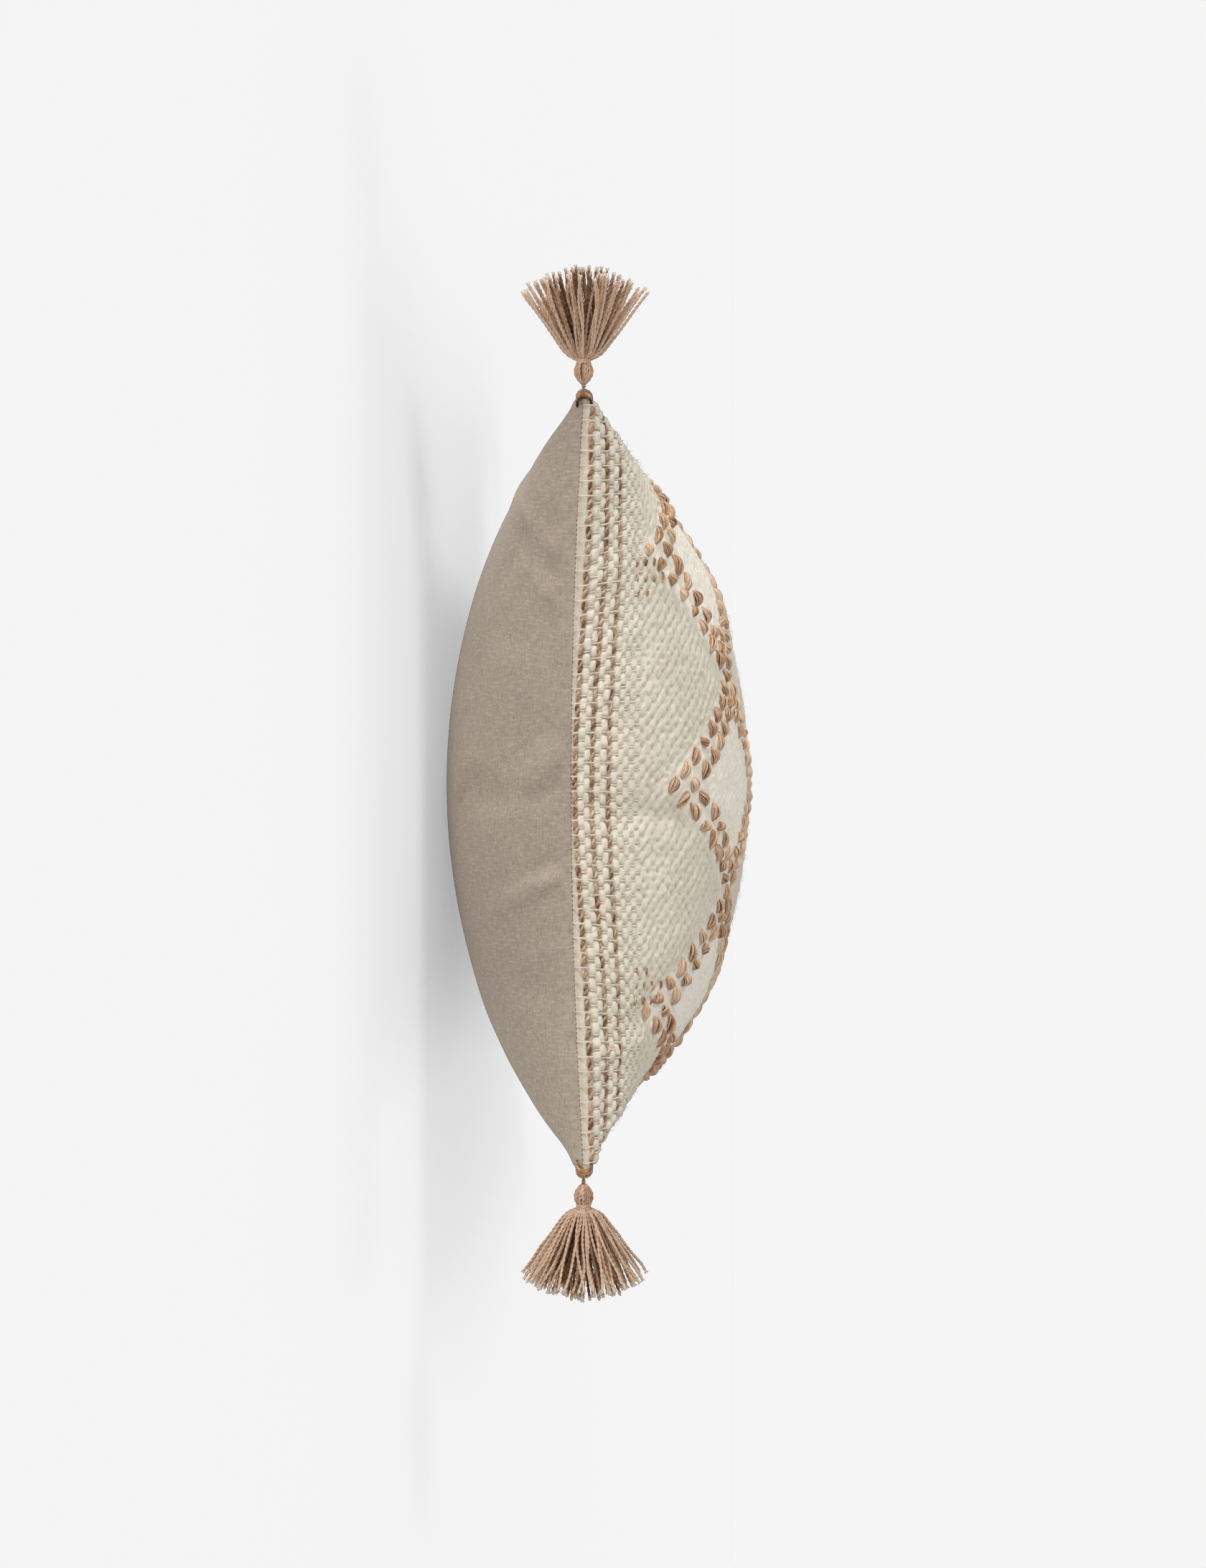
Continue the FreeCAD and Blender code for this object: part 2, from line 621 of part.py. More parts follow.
def tassel_head(corner):
    """The round head, cut flat where the wrap begins."""
    radius, end = total("head_radius"), total("wrap_start")
    middle = total("head_start", "head_radius")
    start = size("head_start")
    rim = math.sqrt(radius[0] ** 2 - (end[0] - middle[0]) ** 2)
    corners = [(fixed(0), (start, None)), (fixed(0), end), ((rim, None), end)]
    return turned_body("tassel_head_" + corner, corners, middle, radius)


def tassel_wrap(corner):
    """The thread wound round the neck, below the head."""
    inner, outer = total("neck_radius"), total("wrap_radius")
    low, high = total("wrap_start"), total("wrap_start", "wrap_tall")
    outline = rectangle(inner, outer, low, high)
    body, profile = body_with_sketch("tassel_wrap_" + corner, "XZ_Plane", [outline])
    revolve(body, profile)
    return body


def tassel_skirt(corner):
    """The bundle of strands: straight inside the wrap, then bent over it and spread to a fan."""
    neck, out, long = total("neck_radius"), total("skirt_out"), total("skirt_long")
    low, mouth = total("wrap_start"), total("wrap_start", "wrap_tall")
    shoulder = total("shoulder_out"), total("wrap_start", "wrap_tall", "shoulder_down")
    ends_down = mouth[0] + math.sqrt(long[0] ** 2 - out[0] ** 2)
    corners = [
        (fixed(0), (mouth[0] + long[0], None)),
        (fixed(0), low),
        (neck, low),
        (neck, mouth),
        shoulder,
        (out, (ends_down, None)),
    ]
    return turned_body("tassel_skirt_" + corner, corners, mouth, long)


def tassels():
    """Four tassels, each hung from a loop at a corner of the cover."""
    for corner, (side_x, side_y, degrees) in CORNERS.items():
        eye, turn = corner_eye(side_x, side_y), along(degrees)
        corner_loop(corner, side_x, side_y)
        hanging_cord(corner, eye, turn)
        for make in (tassel_head, tassel_wrap, tassel_skirt):
            make(corner).Placement = FreeCAD.Placement(eye, turn)


# ---------------------------------------------------------------------------------------
# Build, test and write
# ---------------------------------------------------------------------------------------

panels()
insert()
border_stitches()
motif_tufts()
seam_stitches()
zip_tapes()
zip_coils()
zip_stops()
zip_slider()
zip_pull()
tassels()
doc.recompute()

NODES = [
    "front_panel",
    "back_panel",
    "insert_cover_front",
    "insert_cover_back",
    "insert_fill",
    "border_stitches",
    "motif_tufts",
    "seam_stitches",
    "zipper_tape_front",
    "zipper_tape_back",
    "zipper_coil_front",
    "zipper_coil_back",
    "zipper_bottom_stop",
    "zipper_top_stops",
    "zipper_slider",
    "zipper_pull",
]
for corner in CORNERS:
    for piece in ("loop", "cord", "tassel_head", "tassel_wrap", "tassel_skirt"):
        NODES.append(f"{piece}_{corner}")

for thing in doc.Objects:
    if "Invalid" in thing.State or "Error" in thing.State:
        raise RuntimeError(f"{thing.Label} did not build: {thing.State}")
for node in NODES:
    shape = doc.getObject(node).Shape
    if shape.isNull() or not shape.isValid() or shape.Volume <= 0:
        raise RuntimeError(f"{node} is not a valid solid")
    print(f"{node}: {len(shape.Solids)} solids, {shape.Volume / 1000:.2f} cm3")
    shape.exportStep(f"parts/{node}.step")
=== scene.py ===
"""The looks of a throw pillow: wool front, linen back, zip and four corner tassels.

All lengths are in metres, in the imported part's own frame: X across the face, Y up the face
and Z the thickness. A place on a panel is s, t from -1 to 1, measured evenly along the flat
panel, and side is 1 on the wool front and -1 on the linen back.
"""

import json
import math

import bpy
import numpy as np
from mathutils import Matrix, Vector


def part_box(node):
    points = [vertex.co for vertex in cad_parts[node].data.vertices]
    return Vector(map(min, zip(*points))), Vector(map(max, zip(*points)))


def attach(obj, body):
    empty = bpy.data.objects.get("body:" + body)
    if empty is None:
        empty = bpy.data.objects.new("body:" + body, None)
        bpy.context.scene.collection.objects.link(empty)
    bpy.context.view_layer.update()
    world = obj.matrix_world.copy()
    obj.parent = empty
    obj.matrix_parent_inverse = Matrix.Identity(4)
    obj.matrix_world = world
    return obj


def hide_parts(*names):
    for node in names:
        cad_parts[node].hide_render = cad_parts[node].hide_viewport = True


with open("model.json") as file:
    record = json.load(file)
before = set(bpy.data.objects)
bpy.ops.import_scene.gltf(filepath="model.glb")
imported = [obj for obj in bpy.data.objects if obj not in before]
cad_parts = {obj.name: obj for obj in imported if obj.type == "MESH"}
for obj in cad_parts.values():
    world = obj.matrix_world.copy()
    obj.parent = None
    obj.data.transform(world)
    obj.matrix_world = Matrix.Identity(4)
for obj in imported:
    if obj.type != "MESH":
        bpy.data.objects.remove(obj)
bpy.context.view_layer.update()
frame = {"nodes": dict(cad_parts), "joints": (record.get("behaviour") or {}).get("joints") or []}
random = np.random.default_rng(7)
MM = 0.001

# --- Sizes, from the frame where it holds them ---

FRONT_LOW, FRONT_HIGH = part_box("front_panel")
_, BACK_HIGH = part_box("back_panel")
CORNER_HALF = FRONT_HIGH.x  # middle of the pillow to a corner tip
SEAM_Z = FRONT_LOW.z  # height of the middles of the seams
CORNER_LIFT = BACK_HIGH.z - SEAM_Z  # corner tips above that
FRONT_RISE = FRONT_HIGH.z - SEAM_Z
REST_FLAT = 1.8 * MM  # how much of the back's crown is pressed flat
BACK_RISE = SEAM_Z + REST_FLAT
EDGE_PULL = 0.10  # share of CORNER_HALF by which the middle of an edge is pulled in
PANEL_HALF = 254 * MM  # half the width that a panel was cut to

_, TAPE_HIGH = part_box("zipper_tape_front")
ZIP_HALF = 4.75 * MM  # half the width of the opening
ZIP_END = TAPE_HIGH.x  # the opening's end

STITCH_PITCH = 9.7 * MM  # one warp yarn's wave, and the spacing of the running stitches
SEAM_TO_STITCH = 2.4 * MM
SIDE_COLUMNS = 60  # warp yarns from the middle to the first brown one
COLUMN_PITCH = (PANEL_HALF - SEAM_TO_STITCH) / SIDE_COLUMNS
BROWN_COLUMNS = {  # each brown column, and how thick its stitches are
    SIDE_COLUMNS: 3.3 * MM,
    SIDE_COLUMNS - 3: 3.3 * MM,
    SIDE_COLUMNS - 6: 2.4 * MM,
}

DIAMOND_WIDE, DIAMOND_TALL = 92 * MM, 75 * MM  # half sizes of a diamond on the flat panel
DIAMOND_INSET = 21 * MM
TUFT_PITCH = 14.5 * MM
DIAMONDS = [
    (column * DIAMOND_WIDE, row * 2 * DIAMOND_TALL) for column in (-1, 1) for row in (-1, 0, 1)
]


# --- Meshes ---


def new_object(name, data):
    """An object in the scene."""
    made = bpy.data.objects.new(name, data)
    bpy.context.scene.collection.objects.link(made)
    return made


def add_piece(name, points, quads, material, stands_for=(), body="root", slot=None, **attributes):
    """A mesh object of quads that rides on a body. The attributes hold one number a point."""
    mesh = bpy.data.meshes.new(name)
    points = np.asarray(points, np.float32).reshape(-1, 3)
    quads = np.asarray(quads, np.int32).reshape(-1, 4)
    mesh.vertices.add(len(points))
    mesh.vertices.foreach_set("co", points.ravel())
    mesh.loops.add(quads.size)
    mesh.loops.foreach_set("vertex_index", quads.ravel())
    mesh.polygons.add(len(quads))
    mesh.polygons.foreach_set("loop_start", np.arange(0, quads.size, 4, dtype=np.int32))
    mesh.polygons.foreach_set("use_smooth", np.ones(len(quads), bool))
    mesh.update(calc_edges=True)
    for key, values in attributes.items():
        layer = mesh.attributes.new(key, "FLOAT", "POINT")
        layer.data.foreach_set("value", np.asarray(values, np.float32).ravel())
    mesh.materials.append(material)
    piece = new_object(name, mesh)
    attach(piece, body)
    if stands_for:
        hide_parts(*stands_for)
    return piece


def grid_quads(rows, columns, flip=False):
    """The quads of a grid whose points are stored row by row."""
    index = np.arange(rows * columns).reshape(rows, columns)
    corners = [index[:-1, :-1], index[1:, :-1], index[1:, 1:], index[:-1, 1:]]
    if flip:
        corners.reverse()
    return np.stack(corners, -1).reshape(-1, 4)


def unit(vectors):
    """Vectors along the last axis, made one long."""
    length = np.linalg.norm(vectors, axis=-1, keepdims=True)
    return vectors / np.maximum(length, 1e-12)


def path_frames(paths):
    """A normal and a binormal at each point of each path."""
    tangent = unit(np.gradient(paths, axis=1))
    chord = np.abs(unit(paths[:, -1] - paths[:, 0] + 1e-9))
    reference = np.eye(3)[np.argmin(chord, axis=1)][:, None, :]
    normal = unit(np.cross(tangent, reference))
    return normal, np.cross(tangent, normal)


def tubes(paths, radii, sides=6):
    """Closed round tubes along paths (tube, ring, xyz): their points and quads.

    The radii are one number, or one for each tube, each ring or both."""
    count, rings = paths.shape[:2]
    normal, binormal = (directions[:, :, None, :] for directions in path_frames(paths))
    turn = (np.arange(sides) * 2 * math.pi / sides)[:, None]
    outward = np.cos(turn) * normal + np.sin(turn) * binormal
    points = paths[:, :, None, :] + np.broadcast_to(radii, (count, rings))[:, :, None, None] * outward

    ring, side = np.meshgrid(np.arange(rings - 1), np.arange(sides), indexing="ij")
    after = (side + 1) % sides
    wall = [ring * sides + side, ring * sides + after, (ring + 1) * sides + after, (ring + 1) * sides + side]
    one = np.stack(wall, -1).reshape(-1, 4)
    fan = np.array([[0, k, k + 1, k + 2] for k in range(1, sides - 2, 2)])
    one = np.concatenate([one, fan[:, ::-1], fan + (rings - 1) * sides])
    quads = one[None] + (np.arange(count) * rings * sides)[:, None, None]
    return points.reshape(-1, 3), quads.reshape(-1, 4)


def each_point(values, paths, sides):
    """One value for each tube, or for each of its rings, spread over the tubes' points."""
    values = np.asarray(values)
    if values.ndim == 1:
        values = values[:, None]
    return np.repeat(np.broadcast_to(values, paths.shape[:2]).ravel(), sides)


def add_yarns(name, paths, radii, material, sides=6, tone=None, **options):
    """A piece of round yarns along paths. The tone is one number a yarn, or one for each ring."""
    if tone is not None:
        options["tone"] = each_point(tone, paths, sides)
    return add_piece(name, *tubes(paths, radii, sides), material, **options)


def two_ply(paths, radius, pitch):
    """The paths of the two plies that wind round each path, and the radius of one ply."""
    normal, binormal = path_frames(paths)
    steps = np.linalg.norm(np.diff(paths, axis=1), axis=-1)
    run = np.concatenate([np.zeros((len(paths), 1)), np.cumsum(steps, axis=1)], axis=1)
    start = random.uniform(0, 2 * math.pi, (len(paths), 1))
    wound = []
    for ply in range(2):
        turn = start + 2 * math.pi * (run / pitch + ply / 2)
        offset = np.cos(turn)[..., None] * normal + np.sin(turn)[..., None] * binormal
        wound.append(paths + radius * 0.48 * offset)
    return np.stack(wound, 1).reshape(-1, *paths.shape[1:]), radius * 0.58


def join(*meshes):
    """Several meshes' points and quads as one."""
    points, quads, start = [], [], 0
    for some_points, some_quads in meshes:
        points.append(some_points)
        quads.append(some_quads + start)
        start += len(some_points)
    return np.concatenate(points), np.concatenate(quads)


def smooth_sample(field, s, t):
    """A field on a square grid from -1 to 1, read smoothly at places s, t."""
    count = field.shape[0]
    places = []
    for place in (s, t):
        x = np.clip((np.asarray(place, float) + 1) / 2, 0, 1) * (count - 1)
        cell = np.clip(np.floor(x).astype(int), 0, count - 2)
        f = x - cell
        weights = (
            -0.5 * f + f * f - 0.5 * f**3,
            1 - 2.5 * f * f + 1.5 * f**3,
            0.5 * f + 2 * f * f - 1.5 * f**3,
            -0.5 * f * f + 0.5 * f**3,
        )
        places.append([(np.clip(cell + k - 1, 0, count - 1), weights[k]) for k in range(4)])
    total = 0
    for row, row_weight in places[0]:
        for column, column_weight in places[1]:
            weight = row_weight * column_weight
            values = field[row, column]
            total = total + (weight[..., None] if values.ndim > weight.ndim else weight) * values
    return total


def ramp(x):
    """A smooth step from 0 at 0 to 1 at 1."""
    x = np.clip(x, 0, 1)
    return x * x * (3 - 2 * x)


def soft_noise(size, amount):
    """A seeded field of smooth lumps about that large on a panel."""
    count = int(2 * PANEL_HALF / size) + 2
    return random.normal(0, amount, (count, count))


# --- The cover's shape ---


def cushion(half, rise, u, v):
    """The same face as the part's: its height is a product of two arcs."""
    share = np.clip(-v, 0, None)
    power = 2 + 4 * share * share * (3 - 2 * share)
    x = half * u * (1 - EDGE_PULL * (1 - v * v))
    y = half * v * (1 - EDGE_PULL * (1 - np.abs(u) ** power))
    z = SEAM_Z + CORNER_LIFT * np.abs(u) ** power * v * v
    z = z + rise * np.sqrt(np.clip((1 - u * u) * (1 - v * v), 0, None))
    return np.stack([x, y, z], -1)


def eased(along, across):
    """Where a place of the flat panel ends up on the stuffed face."""
    turn = math.pi / 2 * along - 0.14 * np.sin(math.pi * along)
    return along + (1 - across * across) * (np.sin(turn) - along)


def face(side, s, t, inset=0.0):
    """A face without its folds, or the same face a little further in."""
    rise = FRONT_RISE if side > 0 else -BACK_RISE
    return cushion(CORNER_HALF - inset, rise - side * inset, eased(s, t), eased(t, s))


def surface_directions(place, s, t):
    """The two directions along a surface that place(s, t) gives."""
    step = 0.004
    across = place(np.minimum(s + step, 1), t) - place(np.maximum(s - step, -1), t)
    upward = place(s, np.minimum(t + step, 1)) - place(s, np.maximum(t - step, -1))
    return unit(across), unit(upward)


def face_normal(side, s, t):
    """The outward direction of a face without its folds."""
    across, upward = surface_directions(lambda *at: face(side, *at), s, t)
    return side * unit(np.cross(across, upward))


def edge_distance(s, t):
    """From a place of the flat panel to its nearest seam."""
    return PANEL_HALF * (1 - np.maximum(np.abs(s), np.abs(t)))


FOLD_GRID = 89  # points along each edge of the cloth that is simulated
FOLD_FRAMES = 25
FOLD_LIMIT = 5.5 * MM  # the furthest that a fold moves the cloth


def sewn_square():
    """A mesh of two square panels sewn round their edges, and which point each place has."""
    steps = np.linspace(-1, 1, FOLD_GRID)
    s, t = np.meshgrid(steps, steps, indexing="ij")
    index = np.arange(FOLD_GRID * FOLD_GRID).reshape(FOLD_GRID, FOLD_GRID)
    back_index = index.copy()
    inside = (slice(1, -1), slice(1, -1))
    back_index[inside] = index.size + np.arange((FOLD_GRID - 2) ** 2).reshape(FOLD_GRID - 2, -1)
    grid = grid_quads(FOLD_GRID, FOLD_GRID)
    quads = np.concatenate([index.ravel()[grid], back_index.ravel()[grid][:, ::-1]])
    return s, t, index, back_index, quads


def blurred(field, times):
    """A field with its small waves smoothed away."""
    for _ in range(times):
        for axis in (0, 1):
            padded = np.concatenate([field.take([0], axis), field, field.take([-1], axis)], axis)
            low = padded.take(range(0, field.shape[axis]), axis)
            high = padded.take(range(2, field.shape[axis] + 2), axis)
            field = (low + 2 * field + high) / 4
    return field


def settled_cloth(start, cut, quads):
    """Where the points of a filled cover settle when its cloth was cut to another shape."""
    mesh = bpy.data.meshes.new("folding_cloth")
    mesh.from_pydata(start.tolist(), [], quads.tolist())
    cloth = new_object("folding_cloth", mesh)
    cloth.shape_key_add(name="filled")
    flat = cloth.shape_key_add(name="cut")
    flat.data.foreach_set("co", cut.ravel())

    settings = cloth.modifiers.new("cloth", "CLOTH").settings
    settings.rest_shape_key = flat
    settings.quality = 6
    settings.mass = 0.15
    settings.tension_stiffness = settings.compression_stiffness = 12
    settings.shear_stiffness = 4
    settings.bending_stiffness = 0.6
    settings.air_damping = 4
    settings.use_pressure = True
    settings.uniform_pressure_force = 5
    settings.effector_weights.gravity = 0
    scene = bpy.context.scene
    for number in range(1, FOLD_FRAMES + 1):
        scene.frame_set(number)
    settled = cloth.evaluated_get(bpy.context.evaluated_depsgraph_get()).data
    moved = np.empty(len(start) * 3)
    settled.vertices.foreach_get("co", moved)
    scene.frame_set(1)
    bpy.data.objects.remove(cloth)
    bpy.data.meshes.remove(mesh)
    return moved.reshape(-1, 3)


def simulated_folds():
    """The folds that cloth cut as two flat squares makes when it is sewn up and stuffed."""
    s, t, index, back_index, quads = sewn_square()
    filled = {1: face(1, s, t), -1: face(-1, s, t)}
    start = np.zeros((back_index.max() + 1, 3))
    start[back_index] = filled[-1]
    start[index] = filled[1]
    start[:, 2] = SEAM_Z + (start[:, 2] - SEAM_Z) * 0.97
    cut = np.zeros_like(start)
    for places in (back_index, index):
        cut[places] = np.stack([s * PANEL_HALF, t * PANEL_HALF, np.full_like(s, SEAM_Z)], -1)
    moved = settled_cloth(start, cut, quads)

    folds = {}
    for side, places in ((1, index), (-1, back_index)):
        shift = moved[places] - filled[side]
        wave = shift - blurred(shift, 40)
        size = np.linalg.norm(wave, axis=-1, keepdims=True)
        wave = wave * FOLD_LIMIT * np.tanh(size / FOLD_LIMIT) / np.maximum(size, 1e-9)
        folds[side] = blurred(wave, 1) * ramp(edge_distance(s, t) / (14 * MM))[..., None]
    return folds


# Six random numbers for each crease of each panel.
CREASES = {side: random.uniform(0, 1, (22, 6)) for side in (1, -1)}


def seam_creases(side, s, t):
    """Soft creases that run in from the seams where the cloth is gathered by its filling."""
    height = np.zeros_like(s)
    flat = np.stack([s, t]) * PANEL_HALF
    for number, (place, slant, long, wide, deep, fall) in enumerate(CREASES[side]):
        edge = number % 4
        along = (2 * place - 1) * PANEL_HALF * 0.72
        turn = edge * math.pi / 2
        inward = np.array([math.cos(turn), math.sin(turn)])
        beside = np.array([-inward[1], inward[0]])
        start = -inward * PANEL_HALF + beside * along
        heading = turn + (slant - 0.5) * 1.5
        axis = np.array([math.cos(heading), math.sin(heading)])
        rest = flat - start[:, None, None]
        ahead = rest[0] * axis[0] + rest[1] * axis[1]
        aside = rest[1] * axis[0] - rest[0] * axis[1]
        reach, spread = (50 + 70 * long) * MM, (5 + 7 * wide) * MM
        aside = aside + 6 * MM * (fall - 0.5) * (ahead / reach) ** 2
        swell = ramp(ahead / (10 * MM)) * ramp((reach - ahead) / (0.8 * reach))
        ridge = np.exp(-((aside / spread) ** 2)) - 0.55 * np.exp(-(((aside - 1.5 * spread) / spread) ** 2))
        height += (0.9 + 1.6 * deep) * MM * swell * ridge
    strength = 1.0 if side < 0 else 0.5
    return strength * height * ramp(edge_distance(s, t) / (12 * MM))


def corner_fullness(s, t):
    """The layers of cloth in a corner keep its tip blunt."""
    away = PANEL_HALF * np.hypot(1 - np.abs(s), 1 - np.abs(t))
    steep = np.sqrt(np.clip(edge_distance(s, t) / (3 * MM), 0, 1))
    return 3.6 * MM * np.exp(-((away / (15 * MM)) ** 2)) * steep


FOLDS = simulated_folds()


def cover_point(side, s, t):
    """A place of the cover, with its folds and creases, before it is opened for the zip."""
    point = face(side, s, t) + smooth_sample(FOLDS[side], s, t)
    point = point + face_normal(side, s, t) * seam_creases(side, s, t)[..., None]
    point[..., 2] += side * corner_fullness(s, t)
    point[..., 2] = np.maximum(point[..., 2], 0)
    return point


def cover_frame(side, s, t):
    """A place of the cover with its outward normal."""
    across, upward = surface_directions(lambda *at: cover_point(side, *at), s, t)
    return cover_point(side, s, t), side * unit(np.cross(across, upward))


def zip_opening(x):
    """1 along the zip and 0 past its ends."""
    return ramp((ZIP_END + 3 * MM - np.abs(x)) / (9 * MM))


def open_for_zip(side, points, t):
    """Moves the cloth beside the zip out of its opening. Returns how free of it each place is."""
    opened = np.where(t < -0.8, zip_opening(points[..., 0]), 0)
    room = ZIP_HALF * opened
    gap = side * (points[..., 2] - SEAM_Z)
    points[..., 2] += side * np.maximum(room - gap, 0) * ramp(4 * opened)
    return 1 - opened * (1 - ramp((gap - room) / (3 * MM)))


def seam_groove(s, t):
    """How deep the cloth is drawn in beside a seam."""
    distance = edge_distance(s, t)
    return 1.1 * MM * ramp(distance / (1.2 * MM)) * np.exp(-distance / (1.8 * MM))


def turned_in_hem(side, edge):
    """Rows of points that carry the cloth on from its zip edge to behind the opening."""
    rows = []
    opened = zip_opening(edge[:, 0])
    for into, out in ((0.5, 0.35), (1.4, 0.1), (2.6, 0.0), (3.2, 1.0), (3.3, 4.0)):
        row = edge.copy()
        row[:, 1] += into * MM * (0.1 + 0.9 * opened)
        row[:, 2] += side * out * MM * opened
        rows.append(row)
    return np.stack(rows[::-1], 1)


def add_cover_cloth(name, side, point, material, node, slot, pad="constant", **values):
    """A grid of a panel's cloth with its turned-in hem before it. The values are carried on to it."""
    hem = turned_in_hem(side, point[:, 0])
    whole = np.concatenate([hem, point], 1)
    quads = grid_quads(*whole.shape[:2], flip=side < 0)
    spare = ((0, 0), (hem.shape[1], 0))
    values = {key: np.pad(value, spare, mode=pad) for key, value in values.items()}
    piece = add_piece(name, whole, quads, material, stands_for=[node], slot=slot, **values)


# --- The wool front ---


def chance(column, row, salt):
    """A fixed number from 0 to 1 for each yarn's wave."""
    value = np.sin(column * 12.9898 + row * 78.233 + salt * 37.719) * 43758.5453
    return value - np.floor(value)


def wave_phase(column):
    """How far a warp yarn's waves are shifted: the yarns beside each other mostly alternate."""
    inward = SIDE_COLUMNS - np.abs(column)
    grouped = np.where(inward % 3 == 1, 0.5, 0.0)
    return np.where(inward < 6, grouped, 0.5 * (inward % 2))


def motif_spread(y):
    """How far the motif is stretched sideways: the cloth is fuller beside the outer diamonds."""
    return 0.96 + 0.12 * ramp(np.abs(y) / (2 * DIAMOND_TALL))


def motif_place(x, y):
    """1 on a diamond's outer outline, less inside it and more outside, at the nearest diamond."""
    x = x / motif_spread(y)
    places = [np.abs(x - cx) / DIAMOND_WIDE + np.abs(y - cy) / DIAMOND_TALL for cx, cy in DIAMONDS]
    return np.minimum.reduce(places)


def felting(x, y):
    """How much of the weave's relief shows: less where the wool is felted round the motif."""
    beside = ramp((np.abs(x) - (PANEL_HALF - 55 * MM)) / (30 * MM))
    field = 0.74 + 0.26 * beside
    return field * (0.22 + 0.78 * ramp((motif_place(x, y) - 0.98) / 0.22))


WOOL_LUMPS = soft_noise(2.4 * MM, 1.0)
WOOL_WAVES = soft_noise(11 * MM, 1.0)


def weave_relief(x, y):
    """The wool's height over the panel at a place of the flat panel, and how deep its gaps are: the wool
    material paints shade in the gaps by that depth.
    """
    nearest = np.round(x / COLUMN_PITCH)
    inward = SIDE_COLUMNS - np.abs(nearest)
    beside_seam = 1 - ramp((inward - 7) / 8)
    drift = smooth_sample(WOOL_WAVES, x / PANEL_HALF, y / PANEL_HALF)
    bumps = np.zeros_like(x)
    for column in (nearest - 1, nearest, nearest + 1):
        waves = y / STITCH_PITCH + wave_phase(column) + 0.05 * (chance(column, 0, 1) - 0.5)
        waves = waves + 0.07 * drift * (1 - beside_seam)
        row = np.round(waves)
        along = waves - row - 0.12 * (chance(column, row, 6) - 0.5)
        lean = 0.12 + 0.6 * (chance(column, row, 2) - 0.5)
        across = x / COLUMN_PITCH - column + lean * along + 0.2 * (chance(column, row, 7) - 0.5)
        half_long = 0.40 + 0.03 * beside_seam + 0.08 * (chance(column, row, 3) - 0.5)
        half_wide = 0.78 - 0.12 * beside_seam
        far = np.abs(across / half_wide) ** 2.6 + np.abs(along / half_long) ** 2.8
        tall = 1.6 + 0.7 * beside_seam + 0.7 * (chance(column, row, 5) - 0.5)
        bump = tall * MM * np.sqrt(np.clip(1 - far, 0, 1))
        bumps = np.maximum(bumps, np.where(np.isin(np.abs(column), list(BROWN_COLUMNS)), 0, bump))

    lumps = smooth_sample(WOOL_LUMPS, x / PANEL_HALF, y / PANEL_HALF)
    shown = felting(x, y)
    # How deep a gap is between the yarns' bumps, used as painted shade in the wool's colour.
    gap = np.clip(1 - bumps / (0.7 * MM), 0, 1) * shown
    ground = 1.2 * MM
    height = ground + (bumps - ground) * shown + (0.26 * lumps + 0.22 * drift) * MM
    return height, gap


def wool_front(material):
    """The front in strips, each a fine grid that carries the weave's relief."""
    per_column, rows, strips = 6, 541, 6
    edges = np.linspace(-SIDE_COLUMNS - 2, SIDE_COLUMNS + 2, strips + 1).round().astype(int)
    limit = PANEL_HALF / COLUMN_PITCH
    for number, (first, last) in enumerate(zip(edges, edges[1:])):
        columns = np.linspace(first, last, (last - first) * per_column + 1)
        columns = np.unique(np.clip(columns, -limit, limit))
        across = columns * COLUMN_PITCH / PANEL_HALF
        s, t = np.meshgrid(across, np.linspace(-1, 1, rows), indexing="ij")
        point, normal = cover_frame(1, s, t)
        free = open_for_zip(1, point, t)
        height, gap = weave_relief(s * PANEL_HALF, t * PANEL_HALF)
        seam = ramp(edge_distance(s, t) / (2.5 * MM))
        # seam_shade is painted shade: a thin darker line in the groove along the seam.
        seam_shade = ramp(1 - edge_distance(s, t) / (0.9 * MM))
        lift = height * seam * free - seam_groove(s, t) * free
        point = point + normal * lift[..., None]
        add_cover_cloth(
            f"wool_front_{number + 1}",
            1,
            point,
            material,
            node="front_panel",
            slot="wool",
            # The gap attribute carries painted shade: the hollows between yarns and the seam's groove.
            gap=np.maximum(gap * seam, seam_shade),
            felt=1 - felting(s * PANEL_HALF, t * PANEL_HALF),
        )


def on_front(x, y):
    """The front's frame above places of the flat panel."""
    return cover_frame(1, np.clip(x / PANEL_HALF, -1, 1), np.clip(y / PANEL_HALF, -1, 1))


def yarn_paths(x, y, turn, length, rise, sink, rings):
    """Yarns that come out of the wool, run along it and go back in: paths over the front."""
    share = np.linspace(-0.5, 0.5, rings)
    px = x[:, None] + np.sin(turn)[:, None] * length[:, None] * share
    py = y[:, None] + np.cos(turn)[:, None] * length[:, None] * share
    point, normal = on_front(px, py)
    arch = np.sqrt(np.clip(1 - (2 * share) ** 2, 0, 1))
    return point + normal * (arch * rise - (1 - arch) * sink)[None, :, None]


def running_stitches(name, x, y, thick, rise, material, **options):
    """Short brown two-ply stitches that run along the warp."""
    count = len(x)
    length = random.uniform(6.6, 8.0, count) * MM
    turn = random.normal(0, 0.09, count)
    paths = yarn_paths(x, y, turn, length, rise, sink=1.9 * MM, rings=9)
    wound, radius = two_ply(paths, thick / 2, pitch=6.5 * MM)
    tone = np.repeat(random.uniform(0, 0.55, count), 2) + np.tile([0.0, 0.45], count)
    radii = radius * random.uniform(0.85, 1.1, (len(wound), 1))
    add_yarns(name, wound, radii, material, tone=tone, slot="brown_yarn", **options)


def border_places(column):
    """Where the running stitches of one brown column of each side are."""
    per_side = int((PANEL_HALF - STITCH_PITCH) / STITCH_PITCH)
    rows = np.arange(-per_side, per_side + 1) * STITCH_PITCH
    x, y = np.meshgrid([-column * COLUMN_PITCH, column * COLUMN_PITCH], rows, indexing="ij")
    return x.ravel(), y.ravel()


